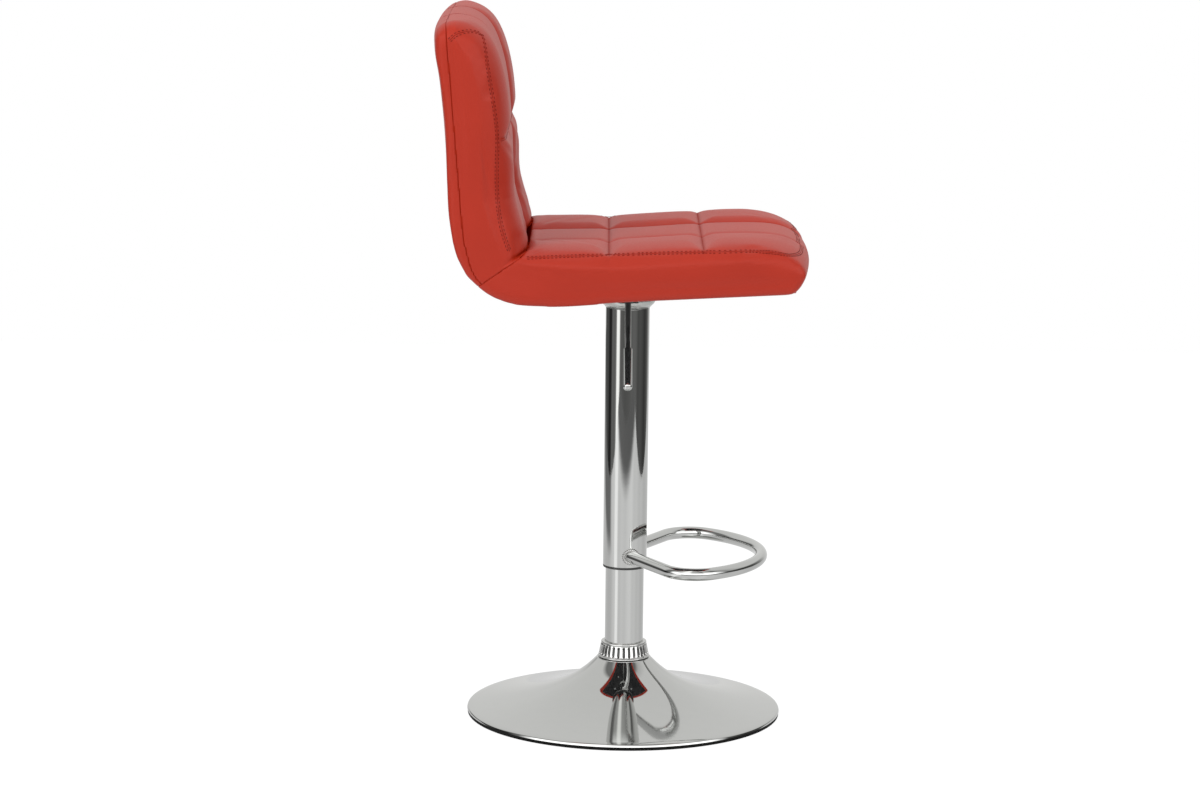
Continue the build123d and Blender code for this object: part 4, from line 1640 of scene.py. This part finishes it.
    def sewing_cuts(self, shape: BMesh) -> None:
        """Cut edges along every sewn channel, so that its fold is crisp.

        Args:
            shape: The blown-up cover.
        """
        up_back = Vector((self.along.x, 0.0, self.along.y))
        foot = Vector((-self.back_reach, 0.0, 0.0))
        for line in self.seat_lines:
            self.cut(shape, self.is_top, FORWARD * line, FORWARD)
        self.cut(shape, self.is_front, foot + up_back * self.back_line, up_back)
        for side in (-1, 1):
            self.cut(shape, self.is_tufted, ACROSS * (side * self.column), ACROSS)

    def channel_pull(self, aside: float, crosswise: float, roll: Roll) -> float:
        """How far sewing and edges pull a tufted side in.

        Args:
            aside: Distance from the middle of the stool.
            crosswise: Distance from the nearest crosswise channel.
            roll: The outer edges of that side.

        Returns:
            The pull.
        """
        inner = self.middle_drop if aside < self.column else 0.0
        along = inner + (self.line_depth - inner) * taper(abs(aside - self.column), self.line_width)
        cross = self.line_depth * taper(crosswise, self.line_width)
        return merged(along, cross, roll.depth * taper(self.half_width - aside, roll.width))

    def pulled(self, point: Vector, normal: Vector) -> Vector:
        """How the cover moves at a point when its channels and edges are sewn.

        Args:
            point: The point.
            normal: The cover's normal there.

        Returns:
            The move.
        """
        behind = self.behind_diagonal(point)
        aside = abs(point.y)
        share = aside / self.half_width
        front = max(self.facing.at(normal.x), self.front_layer.at(self.behind_front(point)))
        top = max(self.facing.at(normal.z), self.top_layer.at(self.below_top(point)))
        upper = self.upper_back.at(point.z) * self.rear_layer.at(self.back_place(point)[0])
        inward = self.channel_pull(aside, self.off_back_line(point), self.back_roll)
        ahead = self.bow * (1 - share**2) * self.nose.at(point.x)
        ahead += self.back_blend.at(behind) * (self.rear_crown * upper * share**3 - inward * front)
        down = self.channel_pull(aside, self.off_seat_lines(point), self.seat_roll)
        drop = self.seat_blend.at(behind) * down * top
        if behind > self.crest_behind:
            crest = max(self.crest_facing.at(normal.z), self.crest_layer.at(self.below_crest(point)))
            roll = self.crest_roll
            drop += roll.depth * taper(self.half_width - aside, roll.width) * crest
        return Vector((ahead, 0.0, -drop)) + self.creased(point)

    def creased(self, point: Vector) -> Vector:
        """How the fold between seat and back draws a point in.

        Args:
            point: The point.

        Returns:
            The move: into the fold, and towards its middle.
        """
        off = self.off_crease(point)
        sink = self.diagonal * (self.crease_sink * taper(off, self.crease_reach))
        pinch = self.crease_pinch * self.behind_diagonal(point) * self.pinch_layer.at(off)
        return Vector((sink.x - self.diagonal.y * pinch, 0.0, sink.y + self.diagonal.x * pinch))

    def fold_shade_mark(self, point: Vector, normal: Vector) -> float:
        """How much shade is painted on the cover at a point, because of a fold there.

        Args:
            point: The point.
            normal: The cover's normal there.

        Returns:
            1 in the middle of a channel or of the fold between seat and back, 0 away from them.
        """
        inside = self.half_width - abs(point.y)
        facing = normal.x if self.behind_diagonal(point) > 0 else normal.z
        mark = self.crease_inset.at(inside) * self.crease_shade.at(self.off_crease(point))
        if facing > self.channel_facing:
            mark = max(mark, self.channel_inset.at(inside) * self.channel_shade.at(self.off_channels(point)))
        return mark

    def sewn(self, shape: BMesh) -> None:
        """Pull the cover in along its channels and edges, and mark the shade painted into its folds.

        Args:
            shape: The blown-up cover.
        """
        fold = shape.verts.layers.float.new(PAINTED_SHADE_MARK)
        shape.normal_update()
        for vert in shape.verts:
            vert[fold] = self.fold_shade_mark(vert.co, vert.normal)
            vert.co += self.pulled(vert.co, vert.normal)
            if vert.normal.z < self.below_facing:
                self.flatten_below(vert)

    def flatten_below(self, vert: BMVert) -> None:
        """Lay a point of the underside flat on the shell, where the dust cloth covers it.

        Args:
            vert: The point, which is moved.
        """
        inward, length = self.wall_place(vert.co)
        covered = length < self.bend * self.cloth_curl - self.arc
        if covered and inward < self.skin_reach:
            share = smooth_step(self.cloth_half + self.cloth_margin, self.cloth_half, abs(vert.co.y))
            depth = inward + share * (self.skin - inward)
            vert.co = self.rolled(Vector((depth - self.seam_depth(length), vert.co.y, length)))

    def by_diagonal(self, face: BMFace) -> bool:
        """Whether a face lies far enough back for the cut along the diagonal."""
        return face.calc_center_median().x < self.crease[0] + self.crease_margin

    def by_rear_seam(self, face: BMFace) -> bool:
        """Whether a face of the unrolled cover lies near the rear seam."""
        middle = face.calc_center_median()
        return abs(middle.x) < self.rear_margin and self.behind_diagonal(self.rolled(middle)) > 0

    def panel_of(self, face: BMFace) -> Panel:
        """The panel that a face of the unrolled cover belongs to.

        Args:
            face: The face.

        Returns:
            Its panel.
        """
        middle = face.calc_center_median()
        if self.behind_diagonal(self.rolled(middle)) < 0:
            return Panel.SEAT
        return Panel.REAR if middle.x < 0 else Panel.BACK

    def panels(self, shape: BMesh) -> None:
        """Cut the cover along its panel seams, fold the seams in, mark painted shade in their grooves and
        mark each face's panel.

        Args:
            shape: The sewn cover.
        """
        square = Vector((-self.diagonal.y, 0.0, self.diagonal.x))
        crease = Vector((self.crease[0], 0.0, self.crease[1]))
        # The seam itself comes last, after a line on each side of it.
        shifts = (-self.groove, self.groove, 0.0)
        cuts = [self.cut(shape, self.by_diagonal, crease + square * shift, square) for shift in shifts]
        folded = set(cuts[-1])
        for vert in shape.verts:
            vert.co = self.unrolled(vert.co)
        cuts = [self.cut(shape, self.by_rear_seam, FORWARD * shift, FORWARD) for shift in shifts]
        folded.update(cuts[-1])
        panel = shape.faces.layers.int.new("panel")
        for face in shape.faces:
            face[panel] = self.panel_of(face).value
        for vert in shape.verts:
            vert.co = self.rolled(vert.co)
        shape.normal_update()
        fold = shape.verts.layers.float[PAINTED_SHADE_MARK]
        # Painted shade in the seam grooves, which are also pushed in.
        for vert in folded:
            if vert.is_valid:
                vert.co -= vert.normal * self.groove_depth
                vert[fold] = 1.0

    def panel_mesh(self, shape: BMesh, panel: Panel, name: str) -> Mesh:
        """One panel of the cover as a closed pad.

        Args:
            shape: The whole sewn cover.
            panel: Which panel.
            name: Name of the mesh.

        Returns:
            The pad's mesh, in the stool's frame.
        """
        part = shape.copy()
        layer = part.faces.layers.int["panel"]
        other = [face for face in part.faces if face[layer] != panel.value]
        bmesh.ops.delete(part, geom=other, context="FACES")
        fold = part.verts.layers.float[PAINTED_SHADE_MARK]
        open_edges = [edge for edge in part.edges if edge.is_boundary]
        # Painted shade on the rim of the pad and on the cap that fills it, where they show in the fold
        # between seat and back.
        for vert in {vert for edge in open_edges for vert in edge.verts}:
            vert[fold] = 1.0
        bmesh.ops.holes_fill(part, edges=open_edges, sides=0)
        bmesh.ops.transform(part, matrix=self.place(), verts=part.verts[:])
        return as_mesh(part, name, 70.0)

    def cover(self) -> BMesh:
        """The whole cover, blown up, sewn and marked by panel.

        Returns:
            The cover, in the seat's frame.
        """
        block = self.evaluated(self.block(), "REMESH", mode="VOXEL", voxel_size=self.voxel)
        shape = bmesh.new()
        shape.from_mesh(block)
        for _ in range(self.smoothing):
            bmesh.ops.smooth_vert(
                shape, verts=shape.verts[:], factor=0.5, use_axis_x=True, use_axis_y=True, use_axis_z=True
            )
        shape.to_mesh(block)
        shape.free()
        LOG.info("the block has %d points", len(block.vertices))
        self.blown_up(block)
        fine = self.evaluated(block, "SUBSURF", levels=1, render_levels=1)
        shape = bmesh.new()
        shape.from_mesh(fine)
        self.sewing_cuts(shape)
        self.sewn(shape)
        self.panels(shape)
        return shape

    def build(self) -> None:
        """Make the pads with their stitching and dress them."""
        shape = self.cover()
        Stitching(BVHTree.FromBMesh(shape), self).build()
        for panel, name, node, fill in (
            (Panel.SEAT, "seat_pad", "seat_cushion", 0.85),
            (Panel.BACK, "back_pad", "back_cushion", 0.85),
            (Panel.REAR, "rear_cover_pad", "rear_panel", 0.7),
        ):
            mesh = self.panel_mesh(shape, panel, name)
            pad = add_piece(name, mesh, LEATHERETTE, Slot.RED_COVER, Body.SEAT, node)
        shape.free()


def smooth_path(knots: Sequence[Vector], step: float) -> list[Vector]:
    """Points about a step apart on a smooth curve through some knots.

    Args:
        knots: Points that the curve passes through.
        step: Distance between the points.

    Returns:
        The points.
    """
    knots = [2 * knots[0] - knots[1], *knots, 2 * knots[-1] - knots[-2]]
    dense: list[Vector] = []
    for before, start, end, after in zip(knots, knots[1:], knots[2:], knots[3:]):
        leave = start + (end - before) / 6
        arrive = end - (after - start) / 6
        dense += interpolate_bezier(start, leave, arrive, end, 40)[:-1]
    path = [dense[0]]
    for point in dense:
        if (point - path[-1]).length >= step:
            path.append(point)
    return path


Spot = tuple[Vector, Vector]


@dataclass
class Stitching:
    """Dark seam cords, which paint the shade of the seam and channel grooves, and thread laid on the finished
    cover.

    The paths start outside the cover, in the seat's frame, and are moved inwards onto it.

    Attributes:
        cover: Tree of the sewn cover, in the seat's frame.
        pads: The upholstery that it belongs to.
    """

    cover: BVHTree
    pads: Upholstery
    cord: float = 0.00045
    cord_step: float = 0.003
    sewn_sink: float = 0.2
    plain_sink: float = 0.3
    row: float = 0.0023
    stitch: float = 0.0032
    stitch_pitch: float = 0.0046
    stitch_arch: tuple[tuple[float, float], ...] = ((0.0, -0.0001), (0.5, 0.0002), (1.0, -0.0001))
    thread: float = 0.00052
    thread_end: float = 0.6

    # Where paths start, and the cores that they are moved towards.
    seat_core: tuple[float, float] = (0.150, 0.130)
    back_core: tuple[float, float] = (-0.19, 0.3)
    clear: float = 0.02
    above: float = 0.1
    ahead: float = -0.08
    seat_inset: float = 0.011
    seat_span: tuple[float, float] = (-0.118, 0.200)
    back_inset: float = 0.013
    back_span: tuple[float, float] = (0.085, 0.3)

    # Knots of the seams, forward and up; those of the nose have their share of the half width between.
    back_seam: tuple[tuple[float, float], ...] = (
        (-0.206, 0.3370), (-0.197, 0.3440), (-0.183, 0.3465), (-0.1715, 0.3435), (-0.1645, 0.3345),
        (-0.1600, 0.2928), (-0.1547, 0.2430), (-0.1534, 0.2120), (-0.1560, 0.1749), (-0.1570, 0.1378),
        (-0.1543, 0.1069), (-0.1480, 0.0811), (-0.1440, 0.0700),
    )
    seat_seam: tuple[tuple[float, float], ...] = (
        (-0.124, 0.0628), (-0.060, 0.0622), (0.000, 0.0615), (0.100, 0.0602), (0.180, 0.0575),
    )
    nose_seam: tuple[tuple[float, float, float], ...] = (
        (0.225, 0.97, 0.0510), (0.250, 0.75, 0.0480), (0.255, 0.4, 0.0480), (0.260, 0.0, 0.0480),
    )
    crest_arc: tuple[tuple[float, float], ...] = (
        (-0.086, 0.355), (-0.125, 0.395), (-0.190, 0.410), (-0.238, 0.395),
    )

    def side_paths(self) -> list[list[Vector]]:
        """Seams that are sewn with two rows of thread, near both sides and round the front.

        Returns:
            The knots of each seam.
        """
        side = self.pads.half_width + self.clear
        paths = []
        for way in (-side, side):
            paths.append([Vector((x, way, z)) for x, z in self.back_seam])
            seat = [Vector((x, way, z)) for x, z in self.seat_seam]
            nose = [Vector((x, share * way, z)) for x, share, z in self.nose_seam]
            paths.append(seat + nose)
        return paths

    def seat_channels(self) -> list[list[Vector]]:
        """Sewn channels of the seat, above its top.

        Returns:
            The knots of each channel.
        """
        side = self.pads.half_width - self.seat_inset
        paths = [[Vector((x, y, self.above)) for y in (-side, side)] for x in self.pads.seat_lines]
        for y in (-self.pads.column, self.pads.column):
            paths.append([Vector((x, y, self.above)) for x in self.seat_span])
        return paths

    def back_channels(self) -> list[list[Vector]]:
        """Sewn channels of the back, ahead of its front and on over its top.

        Returns:
            The knots of each channel.
        """
        side = self.pads.half_width - self.back_inset
        paths = [[Vector((self.ahead, y, self.pads.back_line)) for y in (-side, side)]]
        for y in (-self.pads.column, self.pads.column):
            rise = [Vector((self.ahead, y, z)) for z in self.back_span]
            paths.append(rise + [Vector((x, y, z)) for x, z in self.crest_arc])
        return paths

    def level(self, point: Vector) -> Vector:
        """The way from a point level towards the seat's core.

        Args:
            point: The point.

        Returns:
            The way.
        """
        front, side = self.seat_core
        core = Vector((min(point.x, front), max(min(point.y, side), -side), point.z))
        return (core - point).normalized()

    @staticmethod
    def down(_: Vector) -> Vector:
        """The way straight down, the same for every point."""
        return -UP

    def rearward(self, point: Vector) -> Vector:
        """The way from a point towards the back's core."""
        behind, top = self.back_core
        return (Vector((behind, point.y, min(point.z, top))) - point).normalized()

    def laid(self, knots: Sequence[Vector], step: float, aim: Callable[[Vector], Vector]) -> list[Spot]:
        """Lay a smooth path on the cover.

        Args:
            knots: Points of the path, outside the cover.
            step: Distance between the points that are laid.
            aim: The way that each point is moved until it meets the cover.

        Returns:
            Each spot on the cover with the cover's normal there.
        """
        spots = []
        for point in smooth_path(knots, step):
            spot, normal, _, _ = self.cover.ray_cast(point, aim(point))
            if spot is not None:
                spots.append((spot, normal))
        return spots

    def nearest(self, point: Vector, lift: float) -> Vector:
        """The nearest spot of the cover, lifted off it."""
        spot, normal, _, _ = self.cover.find_nearest(point)
        return spot + normal * lift

    def cord_run(self, spots: Sequence[Spot], sink: float) -> Run:
        """A cord along spots on the cover, sunk into it by a share of its radius."""
        path = [spot - normal * (sink * self.cord) for spot, normal in spots]
        return path, [self.cord] * len(path)

    def thread_runs(self, guide: Sequence[Spot]) -> list[Run]:
        """Two rows of stitches beside a seam, with one stitch of each row for each spot of the seam.

        Args:
            guide: Spots along the seam.

        Returns:
            The stitches.
        """
        runs = []
        radii = (self.thread_end * self.thread, self.thread, self.thread_end * self.thread)
        for (here, normal), (ahead, _) in zip(guide, guide[1:]):
            way = (ahead - here).normalized()
            across = normal.cross(way) * self.row
            for side in (-1, 1):
                start = here + across * side
                path = []
                for share, lift in self.stitch_arch:
                    path.append(self.nearest(start + way * (share * self.stitch), lift))
                runs.append((path, radii))
        return runs

    def build(self) -> None:
        """Make the cords and the thread and dress them."""
        cords, threads = [], []
        for knots in self.side_paths():
            cords.append(self.cord_run(self.laid(knots, self.cord_step, self.level), self.sewn_sink))
            threads += self.thread_runs(self.laid(knots, self.stitch_pitch, self.level))
        for channels, aim in ((self.seat_channels(), self.down), (self.back_channels(), self.rearward)):
            for knots in channels:
                cords.append(self.cord_run(self.laid(knots, self.cord_step, aim), self.plain_sink))
        # The cords' dark colour is painted shade of the grooves.
        for name, runs, finish in (("seam_shade_cords", cords, SEAM_SHADE), ("seam_thread", threads, THREAD)):
            mesh = piped(name, runs)
            mesh.transform(self.pads.place())
            add_piece(name, mesh, finish, Slot.RED_COVER, Body.SEAT)


@dataclass
class DustCloth:
    """Black cloth stapled under the seat, up into the bend of the shell."""

    pads: Upholstery
    half_width: float = 0.174
    front: float = 0.191
    flat_end: float = -0.1166
    curl: float = math.radians(29.0)
    rise: float = 0.0004
    thickness: float = 0.0003
    cells: tuple[int, int] = (72, 24)
    staple_inset: float = 0.007
    staple_width: float = 0.010
    staple_leg: float = 0.0015
    staple_crown: float = 0.0006
    staple_wire: float = 0.0004
    staples: int = 8

    def length(self) -> float:
        """Length of the flat cloth from front to rear."""
        return self.front - self.flat_end + self.pads.bend * self.curl

    def laid(self, along: float, across: float, drop: float) -> Vector:
        """A spot under the seat, by its place on the flat cloth.

        Args:
            along: Distance from the front edge.
            across: Distance from the middle.
            drop: Distance below the cloth's middle.

        Returns:
            The spot in the seat's frame.
        """
        flat = self.front - self.flat_end
        reach = self.pads.bend - self.rise + drop
        turn = max(along - flat, 0.0) / self.pads.bend
        ahead = max(flat - along, 0.0)
        return Vector((
            self.flat_end + ahead - reach * math.sin(turn), across, self.pads.bend - reach * math.cos(turn),
        ))

    def cloth(self) -> Mesh:
        """The cloth, laid along the underside.

        Returns:
            The cloth's mesh, in the stool's frame.
        """
        shape = bmesh.new()
        bmesh.ops.create_grid(shape, x_segments=self.cells[0], y_segments=self.cells[1], size=0.5)
        for vert in shape.verts:
            along = (0.5 - vert.co.x) * self.length()
            vert.co = self.laid(along, 2 * vert.co.y * self.half_width, 0.0)
        bmesh.ops.transform(shape, matrix=self.pads.place(), verts=shape.verts[:])
        bmesh.ops.recalc_face_normals(shape, faces=shape.faces[:])
        return as_mesh(shape, "dust_cloth")

    def staple_spots(self) -> list[tuple[float, float, bool]]:
        """Where the staples are.

        Returns:
            The place of each along and across the flat cloth, and whether it lies lengthwise.
        """
        spots = []
        aside = self.half_width - self.staple_inset
        for step in range(self.staples):
            share = (step + 0.5) / self.staples
            for side in (-1, 1):
                spots.append((share * self.length(), side * aside, True))
            for end in (self.staple_inset, self.length() - self.staple_inset):
                spots.append((end, (2 * share - 1) * aside, False))
        return spots

    def staple_runs(self) -> list[Run]:
        """Staples round the edge of the cloth.

        Returns:
            The bent wire of each.
        """
        half = self.staple_width / 2
        bent = (
            (-half, -self.staple_leg), (-half, self.staple_crown),
            (half, self.staple_crown), (half, -self.staple_leg),
        )
        runs = []
        for along, across, lengthwise in self.staple_spots():
            path = []
            for shift, drop in bent:
                spot = (along + shift, across) if lengthwise else (along, across + shift)
                path.append(self.laid(*spot, drop))
            runs.append((path, [self.staple_wire] * len(path)))
        return runs

    def build(self) -> None:
        """Make the cloth and its staples and dress them."""
        finish = SLOT_FINISHES[Slot.DUST_CLOTH]
        cloth = add_piece("dust_cloth", self.cloth(), finish, Slot.DUST_CLOTH, Body.SEAT, "dust_cover")
        wall = cloth.modifiers.new("wall", "SOLIDIFY")
        wall.thickness = self.thickness
        wall.offset = 0.0
        mesh = piped("cloth_staples", self.staple_runs(), False, 0)
        mesh.transform(self.pads.place())
        staples = add_piece("cloth_staples", mesh, ZINC, Slot.ZINC, Body.SEAT)


WALL_STOPS = (
    (-180, 0.8), (-158, 0.7), (-148, 0.1), (-118, 0.09), (-104, 0.02), (-92, 0.03), (-84, 0.18), (-68, 0.16),
    (-60, 0.3), (-56, 1.5), (-44, 1.5), (-38, 0.2), (-33, 0.148), (-10, 0.117), (11, 0.134), (34, 0.175),
    (46, 0.16), (58, 0.093), (71, 0.11), (85, 0.09), (101, 0.05), (120, 0.1), (135, 0.3), (150, 0.7),
    (180, 0.8),
)
FRONT_STOPS = ((-180, 0.0), (-82, 0.0), (-66, 1.0), (66, 1.0), (82, 0.0), (180, 0.0))
CEILING_STOPS = (
    (-180, 0.8), (-110, 0.8), (-98, 0.22), (-80, 0.25), (-66, 0.62), (-48, 0.72), (-36, 1.6), (-20, 1.6),
    (-8, 0.7), (8, 0.62), (22, 0.5), (30, 0.2), (36, 0.75), (58, 0.85), (66, 0.2), (78, 0.2), (90, 0.6),
    (110, 0.8), (180, 0.8),
)
FLOOR_STOPS = (
    (-180, 0.74), (-135, 0.68), (-109, 0.64), (-90, 0.66), (-73, 0.84), (-60, 0.92), (-56, 1.35), (-44, 1.35),
    (-38, 0.82), (-31, 0.78), (-18, 0.85), (0, 0.80), (19, 0.92), (32, 0.95), (45, 0.80), (60, 0.82),
    (75, 0.73), (91, 0.76), (111, 0.64), (138, 0.68), (180, 0.74),
)


@dataclass
class Studio:
    """Pale floor, soft studio light and the camera."""

    camera_place: tuple[float, float, float] = (-0.0347, -5.0, 1.293)
    pitch: float = math.radians(80.04)
    roll: float = math.radians(0.63)
    lens: float = 117.2
    sensor: float = 36.0

    floor_half: float = 1.65
    floor_reach: float = 2.2
    floor_back: float = 3.0
    floor_round: float = 0.5
    floor_facets: int = 8
    floor_glow: float = 0.84
    floor_white: float = 1.1
    floor_front: float = 1.58
    front_fade: float = 0.17
    aside: tuple[float, float] = (-1.2, -0.95)
    aside_level: float = 0.12
    near: tuple[float, float] = (0.05, -0.35)
    paper: tuple[float, float] = (0.8, 0.84)

    # The room that the chrome mirrors, with its elevations in degrees.
    window: float = 2.2
    window_foot: tuple[float, float] = (2.0, 6.0)
    window_head: tuple[float, float] = (26.0, 38.0)
    ceiling_from: tuple[float, float] = (8.0, 20.0)
    room_level: float = 0.78

    lamp_aim: tuple[float, float, float] = (0.0, 0.0, 0.6)
    lamp_size: float = 1.6

    def camera(self) -> None:
        """The camera at the photograph's viewing angle."""
        data = bpy.data.cameras.new("camera")
        data.lens = self.lens
        data.sensor_width = self.sensor
        camera = put("camera", data)
        turn = Matrix.Rotation(self.pitch, 4, "X") @ Matrix.Rotation(self.roll, 4, "Z")
        camera.matrix_world = Matrix.Translation(self.camera_place) @ turn
        bpy.context.scene.camera = camera

    def floor(self) -> None:
        """A white floor that keeps the shadow and reads as white to the camera and in the chrome."""
        shape = bmesh.new()
        bmesh.ops.create_grid(shape, x_segments=1, y_segments=1, size=0.5)
        depth = self.floor_reach + self.floor_back
        bmesh.ops.scale(shape, vec=(2 * self.floor_half, depth, 1.0), verts=shape.verts[:])
        middle = (self.floor_back - self.floor_reach) / 2
        bmesh.ops.translate(shape, vec=(0.0, middle, 0.0), verts=shape.verts[:])
        bmesh.ops.bevel(
            shape, geom=shape.verts[:], offset=self.floor_round, offset_type="OFFSET",
            segments=self.floor_facets, profile=0.5, affect="VERTICES", material=-1,
        )
        floor = put("floor", as_mesh(shape, "floor"))
        floor.data.materials.append(self.floor_paper())

    def floor_paper(self) -> Material:
        """The floor's white paper, which glows for the camera and in mirror images.

        Returns:
            The material.
        """
        graph = Graph("white_paper")
        dark, light = (tone((level,) * 3) for level in self.paper)
        graph.feed("Base Color", graph.blend(graph.noise(6.0, 2.0), dark, light))
        graph.feed("Roughness", 0.9)
        graph.feed("Specular IOR Level", 0.1)
        path = graph.node("ShaderNodeLightPath", {}).outputs
        shiny = graph.maths("ADD", path["Is Camera Ray"], path["Is Glossy Ray"])
        seen = graph.maths("ADD", shiny, path["Is Transmission Ray"])
        share = graph.maths("MULTIPLY", seen, self.floor_glow)
        level = self.floor_level(graph, path["Is Camera Ray"])
        glow = graph.node("ShaderNodeEmission", {"Strength": level})
        both = {0: share, 1: graph.shader.outputs[0], 2: glow.outputs[0]}
        mixed = graph.node("ShaderNodeMixShader", both)
        graph.join(mixed.outputs[0], graph.tree.nodes["Material Output"].inputs["Surface"])
        return graph.material

    def floor_level(self, graph: Graph, camera_ray: Socket) -> Socket:
        """How bright the floor is: even to the camera, banded and darker in front to the chrome.

        Args:
            graph: The floor's node tree.
            camera_ray: Socket that is 1 for the camera's rays.

        Returns:
            The socket with the level.
        """
        x, y, _ = graph.node("ShaderNodeSeparateXYZ", {0: graph.place}).outputs
        bands = graph.bands(graph.azimuth(x, y), FLOOR_STOPS)
        front = graph.eased(y, -self.floor_front - self.front_fade, -self.floor_front + self.front_fade)
        aside = graph.eased(x, *self.aside, self.aside_level)
        patch = graph.maths("MAXIMUM", aside, graph.eased(y, *self.near))
        lit = graph.maths("MULTIPLY", bands, patch)
        faded = graph.blend(front, tone((0.0,) * 3), lit)
        return graph.blend(camera_ray, faded, tone((self.floor_white,) * 3))

    def world(self) -> None:
        """White all round for the camera, and a room with a dark front and light strips for the chrome."""
        world = bpy.data.worlds.new("studio")
        bpy.context.scene.world = world
        world.use_nodes = True
        nodes = Nodes(world.node_tree, "Generated")
        x, y, up = nodes.node("ShaderNodeSeparateXYZ", {0: nodes.place}).outputs
        azimuth = nodes.azimuth(x, y)
        walls = nodes.bands(azimuth, WALL_STOPS)
        ceiling = nodes.bands(azimuth, CEILING_STOPS)
        room = nodes.blend(self.risen(nodes, up, self.ceiling_from), walls, ceiling)
        below_head = nodes.maths("SUBTRACT", 1.0, self.risen(nodes, up, self.window_head))
        pane = nodes.maths("MULTIPLY", self.risen(nodes, up, self.window_foot), below_head)
        window = nodes.maths("MULTIPLY", pane, nodes.bands(azimuth, FRONT_STOPS))
        sky = nodes.blend(window, room, tone((self.window,) * 3))
        path = nodes.node("ShaderNodeLightPath", {}).outputs
        shiny = nodes.maths("ADD", path["Is Glossy Ray"], path["Is Transmission Ray"])
        lit = nodes.blend(shiny, tone((self.room_level,) * 3), sky)
        seen = nodes.blend(path["Is Camera Ray"], lit, tone((1.0,) * 3))
        nodes.join(seen, nodes.tree.nodes["Background"].inputs["Color"])

    @staticmethod
    def risen(nodes: Nodes, up: Socket, elevations: tuple[float, float]) -> Socket:
        """0 to 1 between two elevations, in degrees."""
        low, high = (math.sin(math.radians(elevation)) for elevation in elevations)
        return nodes.eased(up, low, high)

    def lamp(self, name: str, place: tuple[float, float, float], power: float) -> None:
        """A square soft lamp that looks at the seat and isn't mirrored.

        Args:
            name: Name of the lamp.
            place: Where it is.
            power: Its power, in watts.
        """
        data = bpy.data.lights.new(name, "AREA")
        data.shape = "SQUARE"
        data.size = self.lamp_size
        data.energy = power
        lamp = put(name, data)
        lamp.location = place
        aim = Vector(self.lamp_aim) - lamp.location
        lamp.rotation_euler = aim.to_track_quat("-Z", "Y").to_euler()
        lamp.visible_glossy = False

    def build(self) -> None:
        """Set the view, the floor, the light and the camera."""
        bpy.context.scene.view_settings.view_transform = "Standard"
        self.camera()
        self.floor()
        self.world()
        self.lamp("key_lamp", (-2.2, -2.6, 2.6), 55.0)
        self.lamp("fill_lamp", (2.6, -2.2, 1.6), 15.0)
        self.lamp("top_lamp", (0.3, 0.6, 3.2), 12.0)


def dress_frame() -> None:
    """Give every node of the frame the finish of its slot."""
    for part in frame["record"]["subparts"]:
        node = frame["nodes"][part["node"]]
        finish = SLOT_FINISHES[Slot(part["material_slot"])]
        node.data.materials.clear()
        node.data.materials.append(finish.material())


def main() -> None:
    """Dress the frame, build every sub-assembly and set the stage."""
    logging.basicConfig(level=logging.INFO, format="%(name)s: %(message)s")
    dress_frame()
    pads = Upholstery()
    for assembly in (Base(), Lift(), Footrest(), Lever(), pads, DustCloth(pads), Studio()):
        assembly.build()


if __name__ == "__main__":
    main()
